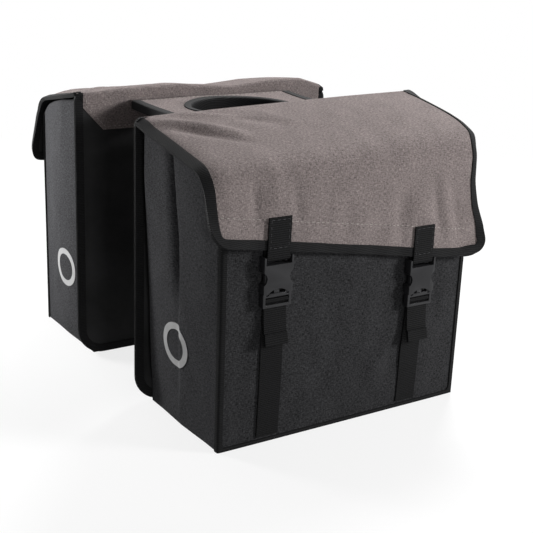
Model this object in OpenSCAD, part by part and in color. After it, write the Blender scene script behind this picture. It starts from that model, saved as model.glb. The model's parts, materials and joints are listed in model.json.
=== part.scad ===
// Double bicycle pannier: two lidded cloth bags joined by a bridge that lies on the luggage rack.
// Frame: X runs along the bicycle, Y across it and Z up.
// The origin is on the ground, midway between the bags.
// Each bag is drawn in its own frame first: Y is then the distance out from its wheel side.

/* [Bags] */
// Width of a bag between its side seams
bag_w = 350; // [300:1:400]
// Depth of a bag from its wheel side to its front
bag_d = 164; // [130:1:200]
// Free width between the wheel sides of the two bags
bag_gap = 170; // [140:1:200]
// Height of the front panel, where the mouth of the bag is
front_h = 300; // [280:1:310]
// Height of the crest, where the lid is hinged
crest_h = 358; // [350:1:380]

/* [Inner panels] */
// How far the inner panel stands out past the side seams
panel_flange = 23; // [16:1:40]
// Thickness of the coated cloth of the inner panel
panel_t = 2; // [1.5:0.1:3]
// Radius of the lower corners of the inner panel
panel_corner_r = 45; // [25:1:60]
// Thickness of the stiffening boards
board_t = 2.6; // [2:0.1:4]
// Depth of the yoke that is sewn to the top of the inner panel
yoke_h = 46; // [30:1:60]
// Size of the cut corners of the yoke
yoke_chamfer = 28; // [10:1:29]
// Thickness of the yoke cloth
yoke_t = 1.2; // [0.8:0.1:2]

/* [Cloth and tape] */
// Thickness of the canvas of the front, the sides and the base
cloth_t = 2.4; // [1.5:0.1:3]
// Thickness of the binding tape
tape_t = 0.9; // [0.6:0.1:1.2]
// Width of the binding tape on the inner panels, the lids and the bridge
tape_w = 11; // [8:0.5:14]
// Width of the seam tape round the front panel
seam_tape_w = 8; // [5:0.5:12]

/* [Side gussets] */
// How far the crease of a side gusset stands out past the seams
gusset_bulge = 14; // [4:1:20]
// The same at the foot of the crease
gusset_foot_bulge = 2; // [0:0.5:4]
// Height at which the crease reaches its full bulge
gusset_full_z = 90; // [40:5:140]
// Room between the lid and the top of the gusset
gusset_room = 7; // [5:0.5:20]
// Height above which the back seam flares out to the binding
gusset_flare_z = 170; // [120:5:240]

/* [Reflective rings] */
// Outer diameter of a ring
ring_od = 54; // [40:1:80]
// Width of its printed stroke
ring_stroke = 8; // [5:0.5:14]
// Thickness of the reflective film
ring_t = 0.5; // [0.3:0.1:0.8]
// Height of its centre
ring_z = 98; // [70:1:150]

/* [Lids] */
// Thickness of the lined lid cloth
lid_t = 2.4; // [1.8:0.1:2.8]
// Radius of the rolled hem at the crest, about which the lid turns
hem_r = 1.6; // [1.5:0.1:2.5]
// Fall of the top of the lid, in degrees
lid_pitch = 11; // [6:0.5:13]
// Outward lean of the hanging face, in degrees
lid_lean = 5; // [2:0.5:8]
// Radius of the fold between top and hanging face
lid_fold_r = 35; // [20:1:38]
// Room between the hanging face and the mouth of the bag
lid_gap = 1.5; // [1:0.1:4]
// Fall from the crest to the lower edge at the aft end
lid_drop_aft = 110; // [100:1:120]
// Fall from the crest to the lower edge at the fore end
lid_drop_fore = 170; // [130:1:180]
// Radius of the lower corners of the lid
lid_corner_r = 22; // [12:1:35]

/* [Straps] */
// Width of the webbing
strap_w = 30; // [25:1:34]
// Thickness of the webbing
strap_t = 1.5; // [1.2:0.1:1.8]
// Distance of a strap from the nearer side seam, before the offset
strap_margin = 72; // [55:1:95]
// Offset of the pair of straps from the middle of the bag
strap_shift = -8; // [-20:1:20]
// Length of strap sewn to the outside of the lid
strap_sewn = 32; // [20:1:38]
// Length of the loose tail below the plug
strap_tail = 44; // [25:1:60]
// Length of the folded hem at the end of the tail
strap_hem = 13; // [8:1:18]

/* [Buckles] */
// Width of rail on each side of the webbing
buckle_rail = 4; // [3.5:0.1:6]
// Thickness of the socket
buckle_t = 10; // [9.6:0.1:13]
// Drop from the edge of the lid to the top of the socket
buckle_hang = 7; // [7:0.5:14]
// Height of the socket
socket_h = 42; // [40:0.5:50]
// Height of the loop for the webbing at the top of the socket
socket_loop_h = 9; // [8:0.5:12]
// Thickness of the walls of the socket
socket_wall = 2.2; // [1.8:0.1:2.6]
// Height of the frame of the plug
plug_h = 16; // [15:0.5:20]
// Thickness of the frame of the plug
plug_t = 7; // [6.8:0.1:8]
// Length of a prong above its root
prong_l = 26; // [20:0.5:28]

/* [Bridge] */
// Width of the bridge along the bicycle
bridge_w = 242; // [200:1:300]
// Drop from the crest to the middle of the bridge
bridge_drop = 12; // [9:0.5:20]
// Thickness of the bridge cloth and its lining together
bridge_t = 3.6; // [3:0.1:5]
// Thickness of the black lining alone
lining_t = 1.6; // [1:0.1:2]
// Length of the hand hole along the bicycle, inside its rim
hole_l = 140; // [90:1:150]
// Width of the hand hole across the bicycle, inside its rim
hole_w = 124; // [80:1:126]
// Width of the tape round the hand hole
rim_w = 8; // [5:0.5:9]

/* [Clearances] */
// Clearance between pieces that lie on each other
fit_gap = 0.1; // [0.05:0.05:0.2]
// Clearance between pieces that move past each other
run_gap = 0.4; // [0.3:0.05:0.6]

/* [Hidden] */
SIDES = ["right", "left"];
ENDS = ["aft", "fore"];
PRONGS = ["a", "b"];
BAG_NODES = ["inner_panel", "inner_board", "inner_binding", "yoke", "front_panel", "front_binding",
    "rim_binding", "base_panel", "base_board", "rings", "lid", "lid_binding", "lid_straps", "sockets"];
END_NODES = ["gusset", "lower_strap", "strap_loop", "plug"];
BRIDGE_NODES = ["bridge_cloth", "bridge_lining", "bridge_bindings", "hand_hole_rim"];

taupe = [0.49, 0.45, 0.44];
charcoal = [0.2, 0.2, 0.21];
gusset_grey = [0.28, 0.28, 0.29];
binding_black = [0.07, 0.07, 0.08];
coated_black = [0.05, 0.05, 0.06];
webbing_black = [0.09, 0.09, 0.1];
buckle_grey = [0.25, 0.25, 0.27];
ring_silver = [0.66, 0.66, 0.66];
board_grey = [0.35, 0.35, 0.36];

$fn = 48;
ARC_STEPS = 8;
BEYOND = 5;

// Inner panel and what is seated against it
panel_w = bag_w + 2 * panel_flange;
hinge_d = panel_t / 2;
panel_top = crest_h - hem_r - run_gap - tape_t / 2;
seam_d = panel_t + tape_t + fit_gap;
front_back_d = bag_d - cloth_t;
yoke_w = panel_w - 2 * tape_w - 2 * fit_gap;

// Hinge line between the bridge and each bag, in the bag's own frame
bridge_r = bridge_t / 2;
swing_d = -yoke_t - run_gap - bridge_r;
swing_z = crest_h - bridge_drop;
bridge_half = bag_gap / 2 + swing_d;
bridge_setback = bridge_t;
cloth_low = lining_t - bridge_r;

// Centre line of the lid: a sloping top, a round fold and a leaning face
lid_hinge = [hinge_d, crest_h];
lid_top_way = [cos(lid_pitch), -sin(lid_pitch)];
lid_face_way = [sin(lid_lean), -cos(lid_lean)];
lid_turn = 90 - lid_pitch - lid_lean;
lid_mid_t = lid_t / 2 / cos(lid_lean);
lid_mouth = [bag_d + tape_t + lid_gap + lid_mid_t, front_h];
lid_top_l = cross(lid_mouth - lid_hinge, lid_face_way) / cross(lid_top_way, lid_face_way);
lid_fold_centre = lid_hinge + (lid_top_l - lid_fold_r * tan(lid_turn / 2)) * lid_top_way
    - lid_fold_r * [sin(lid_pitch), cos(lid_pitch)];
lid_low_z = crest_h - max(lid_drop_aft, lid_drop_fore) - 2 * tape_w;

// Straps and buckles
buckle_w = strap_w + 2 * buckle_rail;
lid_lay = tape_t + fit_gap;
loop_r = lid_mid_t + lid_lay;
loop_bar_r = loop_r - 2 * fit_gap;
cavity_w = buckle_w - 2 * socket_wall;
cavity_top = socket_loop_h + socket_wall;
mouth_arch_r = buckle_w / 2;
window_r = socket_h / 5;
window_z = (cavity_top + socket_h) / 2 - socket_wall;
plug_w = buckle_w - 2 * run_gap;
plug_top = socket_h + run_gap;
plug_bar_r = 1.5;
plug_beam_h = plug_h / 4;
plug_foot_h = plug_h / 5;
plug_bar_z = plug_top + (plug_h + plug_beam_h - plug_foot_h) / 2;
tuck_r = plug_bar_r + fit_gap;
prong_t = buckle_t / 2;
prong_root_r = 2.2;
prong_seat_r = prong_root_r + fit_gap;
prong_x = cavity_w / 2 - run_gap - prong_root_r - 1;
tongue_w = 7;

function ramp(v, low, high) = min(1, max(0, (v - low) / (high - low)));
function unit(v) = v / norm(v);
function flip(list) = [for (i = [len(list) - 1:-1:0]) list[i]];
function arc(centre, r, from, to, n = ARC_STEPS) =
    [for (i = [0:n]) let (a = from + (to - from) * i / n) centre + r * [cos(a), sin(a)]];
// Round corner at p between its neighbours, as points of an arc
function fillet(before, p, after, r) =
    let (u = unit(before - p), v = unit(after - p))
    let (half = acos(u * v) / 2, c = p + unit(u + v) * r / sin(half))
    let (s = p + u * r / tan(half) - c, e = p + v * r / tan(half) - c)
    let (a0 = atan2(s[1], s[0]), sweep = atan2(cross(s, e), s * e))
    arc(c, r, a0, a0 + sweep);

function end_sign(e) = e == "aft" ? -1 : 1;
function strap_x(e) = strap_shift + end_sign(e) * (bag_w / 2 - strap_margin);
function lid_edge_z(x) = crest_h - lid_drop_aft - (lid_drop_fore - lid_drop_aft) * (x / panel_w + 0.5);
function lid_face_d(z) = lid_mouth[0] + lid_mid_t + (front_h - z) * tan(lid_lean);
function lid_inside_d(z) = lid_face_d(z) - 2 * lid_mid_t;
function lid_under_z(d) = crest_h - (d - hinge_d) * tan(lid_pitch) - lid_t / 2 / cos(lid_pitch);
function buckle_z(e) = lid_edge_z(strap_x(e)) - buckle_hang;
function buckle_d(e) = lid_face_d(lid_edge_z(strap_x(e))) - lid_mid_t;

module on_bag(side) {
    if (side == "right") {
        translate([0, -bag_gap / 2, 0]) mirror([0, 1, 0]) children();
    } else {
        translate([0, bag_gap / 2, 0]) children();
    }
}

// Solid of an outline in Y and Z, of width w along X
module across(w) {
    rotate([90, 0, 90]) linear_extrude(w, center = true) children();
}

// Solid of an outline in X and Z, from one depth to another
module depth(from, to) {
    translate([0, to, 0]) rotate([90, 0, 0]) linear_extrude(to - from) children();
}

// Inner panel
module inner_outline(grow) {
    half = panel_w / 2 + grow;
    low = tape_t - grow;
    r = panel_corner_r + grow;
    points = [[-half, panel_top], [-half, low], [half, low], [half, panel_top]];
    polygon(concat([points[0]], fillet(points[0], points[1], points[2], r),
        fillet(points[1], points[2], points[3], r), [points[3]]));
}

module inner_panel() {
    color(coated_black) depth(0, panel_t) inner_outline(0);
}

module inner_binding() {
    color(binding_black) difference() {
        depth(-tape_t, panel_t + tape_t) inner_outline(tape_t);
        depth(0, panel_t) inner_outline(0);
        depth(-tape_t - BEYOND, panel_t + tape_t + BEYOND) inner_outline(-tape_w);
    }
}

module inner_board() {
    w = bag_w - 2 * cloth_t - 2 * run_gap;
    color(board_grey) translate([-w / 2, seam_d, cloth_t + fit_gap]) cube([w, board_t, front_h - cloth_t]);
}

module yoke() {
    half = yoke_w / 2;
    low = panel_top - yoke_h;
    cut = yoke_chamfer;
    color(taupe) depth(-yoke_t, 0) polygon([[-half, panel_top], [-half, low + cut], [-half + cut, low],
        [half - cut, low], [half, low + cut], [half, panel_top]]);
}

// Box of the bag
module front_panel() {
    color(charcoal) translate([-bag_w / 2, front_back_d, 0]) cube([bag_w, cloth_t, front_h]);
}

module front_binding() {
    inside_w = bag_w - 2 * seam_tape_w;
    color(binding_black) depth(bag_d, bag_d + tape_t) difference() {
        translate([-bag_w / 2, 0]) square([bag_w, front_h]);
        translate([-inside_w / 2, seam_tape_w]) square([inside_w, front_h]);
    }
}

module rim_binding() {
    w = bag_w - 2 * seam_tape_w - 2 * fit_gap;
    t = cloth_t + 2 * tape_t;
    color(binding_black) difference() {
        translate([-w / 2, front_back_d - tape_t, front_h - tape_w]) cube([w, t, tape_w + tape_t]);
        front_panel();
    }
}

module base_panel() {
    color(charcoal) translate([-bag_w / 2, seam_d, 0]) cube([bag_w, front_back_d - seam_d, cloth_t]);
}

module base_board() {
    w = bag_w - 2 * cloth_t - 2 * run_gap;
    from = seam_d + board_t + fit_gap;
    color(board_grey) translate([-w / 2, from, cloth_t]) cube([w, front_back_d - run_gap - from, board_t]);
}

// Side gusset: a sheet of three columns, with its crease in the middle one
GUSSET_ROWS = [0, 0.14, 0.28, 0.5, 0.75, 1];
gusset_flare = panel_flange - tape_w - fit_gap;
gusset_columns = [seam_d, (seam_d + front_back_d) / 2, front_back_d];
gusset_tops = [lid_under_z(seam_d) - gusset_room, lid_under_z(gusset_columns[1]) - gusset_room, front_h];

function crease_out(z) = gusset_foot_bulge + (gusset_bulge - gusset_foot_bulge) * ramp(z, 0, gusset_full_z);
function gusset_out(column, z) = bag_w / 2
    + (column == 0 ? gusset_flare * ramp(z, gusset_flare_z, gusset_tops[0]) : 0)
    + (column == 1 ? crease_out(z) : 0);
function gusset_grid(out) = [for (v = GUSSET_ROWS) for (c = [0:2])
    let (z = cloth_t + v * (gusset_tops[c] - cloth_t)) [gusset_out(c, z) + out, gusset_columns[c], z]];

// Closed slab between two grids of the same rows and columns, the first one outermost
module slab(outer, inner, columns) {
    n = len(outer);
    rows = n / columns;
    skin = [for (r = [0:rows - 2]) for (c = [0:columns - 2]) let (a = r * columns + c, b = a + columns)
        each [[a, b, b + 1], [a, b + 1, a + 1]]];
    rim = concat([for (c = [0:columns - 1]) c], [for (r = [1:rows - 1]) r * columns + columns - 1],
        [for (c = [columns - 2:-1:0]) n - columns + c], [for (r = [rows - 2:-1:1]) r * columns]);
    edge = [for (i = [0:len(rim) - 1]) let (p = rim[i], q = rim[(i + 1) % len(rim)])
        each [[p, q, q + n], [p, q + n, p + n]]];
    polyhedron(concat(outer, inner), concat(skin, [for (f = skin) [f[0] + n, f[2] + n, f[1] + n]], edge));
}

module at_end(e) {
    if (e == "aft") {
        mirror([1, 0, 0]) children();
    } else {
        children();
    }
}

module gusset(e) {
    color(gusset_grey) at_end(e) slab(gusset_grid(0), gusset_grid(-cloth_t), 3);
}

module rings() {
    color(ring_silver) for (e = ENDS) at_end(e) intersection() {
        slab(gusset_grid(ring_t + fit_gap / 2), gusset_grid(fit_gap / 2), 3);
        translate([bag_w / 2 - BEYOND, gusset_columns[1], ring_z]) rotate([0, 90, 0]) difference() {
            cylinder(d = ring_od, h = gusset_bulge + 3 * BEYOND);
            translate([0, 0, -BEYOND]) cylinder(d = ring_od - 2 * ring_stroke, h = gusset_bulge + 5 * BEYOND);
        }
    }
}

// Lid
function lid_line(o) = concat(
    [lid_hinge + o * [sin(lid_pitch), cos(lid_pitch)]],
    arc(lid_fold_centre, lid_fold_r + o, 90 - lid_pitch, lid_lean, 2 * ARC_STEPS),
    [[lid_mouth[0] + (front_h - lid_low_z) * tan(lid_lean), lid_low_z] + o * [cos(lid_lean), sin(lid_lean)]]);

module lid_outline(side_in, low_in) {
    half = panel_w / 2 - side_in;
    top = crest_h + lid_fold_r;
    aft_z = lid_edge_z(-half) + low_in;
    fore_z = lid_edge_z(half) + low_in;
    r = max(lid_corner_r - side_in, 2);
    points = [[-half, top], [-half, aft_z], [half, fore_z], [half, top]];
    polygon(concat([points[0]], fillet(points[0], points[1], points[2], r),
        fillet(points[1], points[2], points[3], r), [points[3]]));
}

module lid_sheet(grow) {
    r = lid_t / 2 + grow;
    intersection() {
        across(panel_w + 2 * BEYOND) polygon(concat(lid_line(r), flip(lid_line(-r))));
        depth(-2 * BEYOND, bag_d + front_h) lid_outline(-grow, -grow);
    }
}

module lid() {
    color(taupe) {
        lid_sheet(0);
        translate([0, lid_hinge[0], lid_hinge[1]]) bar_along(hem_r, panel_w);
    }
}

module lid_binding() {
    from_d = hinge_d + lid_t + 2 * tape_t;
    color(binding_black) difference() {
        lid_sheet(tape_t);
        lid_sheet(0);
        depth(-2 * BEYOND - 1, bag_d + front_h + 1) lid_outline(tape_w, tape_w);
        translate([-panel_w, -2 * BEYOND - 1, 0]) cube([2 * panel_w, from_d + 2 * BEYOND + 1, 2 * crest_h]);
    }
}

// Webbing sewn to the outside of the lid, round the bar of the socket and up again inside
module lid_straps() {
    color(webbing_black) for (e = ENDS) {
        front_z = lid_edge_z(strap_x(e)) + strap_sewn;
        back_z = lid_edge_z(strap_x(e)) + strap_sewn * 2 / 3;
        free_z = min([for (s = [-1, 1]) lid_edge_z(strap_x(e) + s * strap_w / 2)]) - lid_lay;
        bar = [buckle_d(e), buckle_z(e) - loop_bar_r];
        out = lid_lay + strap_t;
        translate([strap_x(e), 0, 0]) across(strap_w) polygon(concat(
            [[lid_face_d(front_z) + out, front_z]],
            [[lid_face_d(free_z) + out, free_z]],
            arc(bar, loop_r + strap_t, 0, -180),
            [[lid_inside_d(free_z) - out, free_z]],
            [[lid_inside_d(back_z) - out, back_z]],
            [[lid_inside_d(back_z) - lid_lay, back_z]],
            [[lid_inside_d(free_z) - lid_lay, free_z]],
            arc(bar, loop_r, -180, 0),
            [[lid_face_d(free_z) + lid_lay, free_z]],
            [[lid_face_d(front_z) + lid_lay, front_z]]));
    }
}

// Frame of a buckle: X from its middle, Y out from its middle plane and Z up from the top of the socket
module at_buckle(e) {
    translate([strap_x(e), buckle_d(e), buckle_z(e)]) children();
}

module bar_along(r, w) {
    rotate([0, 90, 0]) cylinder(r = r, h = w, center = true);
}

module pin_through(x, z, r, t) {
    translate([x, 0, z]) rotate([90, 0, 0]) cylinder(r = r, h = t, center = true);
}

module block(w, d0, d1, z0, z1) {
    translate([-w / 2, d0, z0]) cube([w, d1 - d0, z1 - z0]);
}

// Socket of the buckle: a hood that is open at its mouth and at its back
module socket() {
    half_t = buckle_t / 2;
    loop_w = buckle_w - 2 * socket_wall;
    difference() {
        block(buckle_w, -half_t, half_t, -socket_h, 0);
        block(loop_w, -half_t - 1, half_t + 1, -socket_loop_h, 1);
        block(cavity_w, -half_t - 1, half_t - socket_wall, -socket_h - 1, -cavity_top);
        for (s = [-1, 1]) pin_through(s * (buckle_w / 2 + window_r / 2), -window_z, window_r, buckle_t + 2);
        pin_through(0, -socket_h - mouth_arch_r * 0.72, mouth_arch_r, buckle_t + 2);
    }
    translate([0, 0, -loop_bar_r]) bar_along(loop_bar_r, loop_w);
}

module sockets() {
    color(buckle_grey) for (e = ENDS) at_buckle(e) socket();
}

// Plug of the buckle: a frame with a bar for the webbing, a guide tongue and seats for two prongs
module plug(e) {
    half_t = plug_t / 2;
    window_w = strap_w + 2 * run_gap;
    low = plug_top + plug_h;
    color(buckle_grey) at_buckle(e) {
        difference() {
            block(plug_w, -half_t, half_t, -low, -plug_top);
            block(window_w, -half_t - 1, half_t + 1, -low + plug_foot_h, -plug_top - plug_beam_h);
            block(window_w, -half_t - 1, fit_gap, -low - 1, -low + plug_foot_h + 1);
            for (s = [-1, 1]) pin_through(s * prong_x, -plug_top, prong_seat_r, plug_t + 2);
        }
        translate([0, 0, -plug_bar_z]) bar_along(plug_bar_r, window_w);
        block(tongue_w, -prong_t / 3, prong_t / 3, -plug_top, -plug_top + prong_l * 0.8);
    }
}

// Springy prong: a round root in the frame of the plug and an arm that bows out to the rail of the socket
module prong(e, p) {
    s = p == "a" ? -1 : 1;
    outer = cavity_w / 2 - run_gap - prong_x;
    arm = [[-prong_root_r * 0.7, 0], [prong_root_r * 0.7, 0], [outer, prong_l * 0.4], [outer, prong_l * 0.85],
        [outer * 0.3, prong_l], [-outer * 0.2, prong_l * 0.8], [-prong_root_r * 0.9, prong_l * 0.25]];
    color(buckle_grey) at_buckle(e) {
        translate([s * prong_x, 0, -plug_top]) mirror([s < 0 ? 1 : 0, 0, 0]) union() {
            depth(-prong_t / 2, prong_t / 2) polygon(arm);
            pin_through(0, 0, prong_root_r, prong_t);
        }
    }
}

// Webbing tucked over the bar of the plug, with its loose tail
module strap_loop(e) {
    bar = [0, -plug_bar_z];
    low = -plug_top - plug_h;
    foot = low + plug_foot_h;
    back = -tuck_r - strap_t;
    lay = -tuck_r + fit_gap;
    tail = low - strap_tail;
    to_foot = [lay, foot] - bar;
    leave = atan2(to_foot[1], to_foot[0]) + acos(tuck_r / norm(to_foot));
    color(webbing_black) at_buckle(e) across(strap_w) polygon(concat(
        [[back, low]],
        arc(bar, tuck_r + strap_t, 180, leave),
        [[lay + strap_t, foot]],
        [[lay + strap_t, tail + strap_hem]],
        [[lay + 2 * strap_t, tail + strap_hem]],
        [[lay + 2 * strap_t, tail]],
        [[lay, tail]],
        [[lay, foot]],
        arc(bar, tuck_r, leave, 180),
        [[-tuck_r, low]]));
}

// Webbing from the plug down to the lower seam of the front panel
module lower_strap(e) {
    top = buckle_z(e) - plug_top - plug_h - 2 * fit_gap;
    back = buckle_d(e) - tuck_r - strap_t;
    lay = bag_d + fit_gap;
    low = seam_tape_w + fit_gap;
    sewn = low + strap_sewn;
    color(webbing_black) translate([strap_x(e), 0, 0]) across(strap_w) polygon([
        [lay, low], [lay + strap_t, low], [lay + strap_t, sewn],
        [back + strap_t, top], [back, top], [lay, sewn]]);
}

// Bridge between the bags
module stadium(l, w) {
    square([l - w, w], center = true);
    for (s = [-1, 1]) translate([s * (l - w) / 2, 0]) circle(d = w);
}

// Flat layer of the bridge, held back from its open edges and from the hole by the tape there
module bridge_layer(low, high, side_in, hole_in) {
    translate([0, 0, swing_z + low]) linear_extrude(high - low) difference() {
        square([bridge_w - 2 * side_in, 2 * bridge_half - 2 * bridge_setback], center = true);
        stadium(hole_l + 2 * hole_in, hole_w + 2 * hole_in);
    }
}

module bridge_cloth() {
    color(taupe) {
        bridge_layer(cloth_low, bridge_r, 0, 0);
        for (s = [-1, 1]) translate([0, s * bridge_half, swing_z]) {
            bar_along(bridge_r, bridge_w);
            translate([0, -s * bridge_setback / 2, (cloth_low + bridge_r) / 2])
                cube([bridge_w, bridge_setback, bridge_r - cloth_low], center = true);
        }
    }
}

module bridge_lining() {
    color(coated_black) bridge_layer(-bridge_r, cloth_low, tape_w + fit_gap, rim_w + fit_gap);
}

module bridge_bindings() {
    l = 2 * bridge_half - 4 * bridge_setback;
    t = bridge_r - cloth_low;
    from = bridge_w / 2 - tape_w;
    color(binding_black) for (e = ENDS) at_end(e) translate([from, 0, swing_z + cloth_low]) difference() {
        translate([0, -l / 2, -tape_t]) cube([tape_w + tape_t, l, t + 2 * tape_t]);
        translate([-BEYOND, -l, 0]) cube([tape_w + BEYOND, 2 * l, t]);
    }
}

module hand_hole_rim() {
    t = bridge_r - cloth_low;
    color(binding_black) translate([0, 0, swing_z]) difference() {
        translate([0, 0, cloth_low - tape_t]) linear_extrude(t + 2 * tape_t) difference() {
            stadium(hole_l + 2 * rim_w, hole_w + 2 * rim_w);
            stadium(hole_l - 2 * tape_t, hole_w - 2 * tape_t);
        }
        translate([0, 0, cloth_low]) linear_extrude(t) difference() {
            stadium(hole_l + 2 * rim_w + BEYOND, hole_w + 2 * rim_w + BEYOND);
            stadium(hole_l, hole_w);
        }
    }
}

bridge_cloth();
bridge_lining();
bridge_bindings();
hand_hole_rim();
for (s = SIDES) on_bag(s) {
    inner_panel();
    inner_board();
    inner_binding();
    yoke();
    front_panel();
    front_binding();
    rim_binding();
    base_panel();
    base_board();
    rings();
    lid();
    lid_binding();
    lid_straps();
    sockets();
    for (e = ENDS) {
        gusset(e);
        lower_strap(e);
        strap_loop(e);
        plug(e);
        for (p = PRONGS) {
            prong(e, p);
        }
    }
}
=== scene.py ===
# %% [markdown]
# # A double pannier bag
# Two lidded canvas bags hang beside a bicycle's rear wheel, joined by a cloth bridge that lies on the luggage
# rack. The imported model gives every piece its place. This script makes what is soft look soft: canvas, tape and
# webbing. The right bag is modelled once, piece by piece. The left bag is its mirror image, a little less
# stuffed.

# %% Load the frame
import json
import math

import bpy
from mathutils import Matrix, Vector


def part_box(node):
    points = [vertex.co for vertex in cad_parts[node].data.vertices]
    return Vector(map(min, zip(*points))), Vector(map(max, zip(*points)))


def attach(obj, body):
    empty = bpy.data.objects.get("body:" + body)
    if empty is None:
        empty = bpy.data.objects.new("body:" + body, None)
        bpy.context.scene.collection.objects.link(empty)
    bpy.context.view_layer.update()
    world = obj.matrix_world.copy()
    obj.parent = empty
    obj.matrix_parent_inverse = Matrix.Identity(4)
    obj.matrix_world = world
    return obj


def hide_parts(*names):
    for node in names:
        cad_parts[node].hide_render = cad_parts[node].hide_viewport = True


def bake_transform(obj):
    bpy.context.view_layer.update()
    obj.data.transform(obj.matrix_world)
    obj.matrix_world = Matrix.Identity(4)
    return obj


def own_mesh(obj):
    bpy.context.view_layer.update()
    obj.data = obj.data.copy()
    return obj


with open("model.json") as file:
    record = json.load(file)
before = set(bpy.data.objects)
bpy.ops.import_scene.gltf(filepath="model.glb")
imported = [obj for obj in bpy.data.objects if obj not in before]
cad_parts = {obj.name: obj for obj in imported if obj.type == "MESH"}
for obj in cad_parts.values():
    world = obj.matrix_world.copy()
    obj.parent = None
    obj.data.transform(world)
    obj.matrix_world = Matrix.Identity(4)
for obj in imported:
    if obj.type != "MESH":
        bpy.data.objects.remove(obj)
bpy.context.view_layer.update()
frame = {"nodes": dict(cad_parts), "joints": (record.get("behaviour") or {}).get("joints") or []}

MM = 0.001

# %% [markdown]
# Sizes come from the frame wherever it can give them, so the cloth always fits the pieces that it is sewn to. A
# point of the right bag is easiest to name by x along the bicycle, d out from the wheel side, and z up.

# %% Sizes
PANEL_LOW, PANEL_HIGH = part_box("right_inner_panel")
FRONT_LOW, FRONT_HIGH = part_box("right_front_panel")
GUSSET_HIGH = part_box("right_gusset_aft")[1]
JOINT = {joint["name"]: joint for joint in frame["joints"]}
HINGE_AT = JOINT["right_lid_hinge"]["pos_m"]
WHEEL_Y = -PANEL_HIGH.y


def deep(y):
    """How far out from the wheel side a place across the right bag lies."""
    return -y - WHEEL_Y


def out(x, d, z):
    return Vector((x, -WHEEL_Y - d, z))


PANEL_HALF = PANEL_HIGH.x
PANEL_TOP = PANEL_HIGH.z
BAG_HALF = FRONT_HIGH.x
FRONT_D = deep(FRONT_LOW.y)
MOUTH_Z = FRONT_HIGH.z
SEAM_D = deep(GUSSET_HIGH.y)
GUSSET_TOP = GUSSET_HIGH.z
CREST_D = deep(HINGE_AT[1])
CREST_Z = HINGE_AT[2]

CLOTH_T = 2.4 * MM
TAPE_T = 0.9 * MM
TAPE_W = 11 * MM
SEAM_TAPE_W = 5 * MM
WEBBING_T = 1.5 * MM
print("bag:", round(2 * BAG_HALF, 4), "wide,", round(FRONT_D, 4), "deep, mouth at", round(MOUTH_Z, 4))

# %% [markdown]
# ## Camera, floor and light
# The photograph looks down a little at the aft end of the right bag. Its camera was worked out from the bag's
# corners. The floor and the sky are white to the camera and in mirrors, but they light the cloth only a little.

# %% Camera
CAMERA_AT = Vector((-741.07, -1187.97, 573.42)) * MM
CAMERA_TURN = [("Z", -33.55), ("X", 72.28), ("Z", 2.17)]
SENSOR_W = 36.0
LENS = 72.75


def add(name, operator, **settings):
    """Adds an object with nothing else selected, and names it."""
    bpy.ops.object.select_all(action="DESELECT")
    operator(**settings)
    made = bpy.context.object
    made.name = made.data.name = name
    return made


def make_camera():
    camera = add("Camera", bpy.ops.object.camera_add)
    turn = Matrix.Identity(4)
    for axis, degrees in CAMERA_TURN:
        turn = turn @ Matrix.Rotation(math.radians(degrees), 4, axis)
    camera.matrix_world = Matrix.Translation(CAMERA_AT) @ turn
    camera.data.sensor_width = SENSOR_W
    camera.data.lens = LENS
    return camera


bpy.context.scene.camera = make_camera()
bpy.context.scene.view_settings.view_transform = "Standard"
print("camera at", tuple(round(c, 3) for c in CAMERA_AT))

# %% Lamps
LAMPS = {
    "top_lamp": {"at": (1.2, 1.0, 2.1), "size": 0.7, "power": 82},
    "side_lamp": {"at": (1.25, -1.35, 0.75), "size": 0.4, "power": 32},
    "front_lamp": {"at": (-0.6, -2.2, 0.5), "size": 0.3, "power": 8.5},
    "edge_lamp": {"at": (-0.56, 0.5, 0.36), "size": 0.2, "power": 5.4},
    "back_lamp": {"at": (-0.2, 2.2, 1.0), "size": 0.6, "power": 10},
}
LAMP_AIM = Vector((0, 0, 0.18))


def make_lamp(name, at, size, power):
    lamp = add(name, bpy.ops.object.light_add, type="AREA", location=at)
    lamp.data.size = size
    lamp.data.energy = power
    lamp.visible_camera = False
    lamp.rotation_euler = (LAMP_AIM - lamp.location).to_track_quat("-Z", "Y").to_euler()


for lamp_name, lamp in LAMPS.items():
    make_lamp(lamp_name, **lamp)
print("lamps:", ", ".join(LAMPS))

# %% World
SKY_STRENGTH = 0.13
WHITE = (1, 1, 1, 1)


def fill(tree, node, inputs):
    """Gives a node's inputs their values, or links them to the outputs of other nodes."""
    for key, value in inputs.items():
        if isinstance(value, bpy.types.NodeSocket):
            tree.links.new(value, node.inputs[key])
        else:
            node.inputs[key].default_value = value


def wire(tree, kind, inputs=None, give=0, **settings):
    """Adds a shader node with its settings and inputs, and gives one of its outputs."""
    node = tree.nodes.new("ShaderNode" + kind)
    for key, value in settings.items():
        setattr(node, key, value)
    fill(tree, node, inputs or {})
    return node.outputs[give]


def white_to_camera(tree, shader, white):
    """Mixes a shader with plain white for what the camera, a mirror or glass sees."""
    rays = tree.nodes.new("ShaderNodeLightPath").outputs
    seen = rays["Is Camera Ray"]
    for kind in ("Is Glossy Ray", "Is Transmission Ray"):
        seen = wire(tree, "Math", {0: seen, 1: rays[kind]}, operation="MAXIMUM")
    return wire(tree, "MixShader", {"Fac": seen, 1: shader, 2: white})


def make_world():
    world = bpy.data.worlds.new("studio")
    bpy.context.scene.world = world
    world.use_nodes = True
    tree = world.node_tree
    sky = tree.nodes["Background"]
    fill(tree, sky, {"Color": WHITE, "Strength": SKY_STRENGTH})
    white = wire(tree, "Background", {"Color": WHITE})
    shader = white_to_camera(tree, sky.outputs[0], white)
    fill(tree, tree.nodes["World Output"], {"Surface": shader})


make_world()
print("sky: strength", SKY_STRENGTH)

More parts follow.
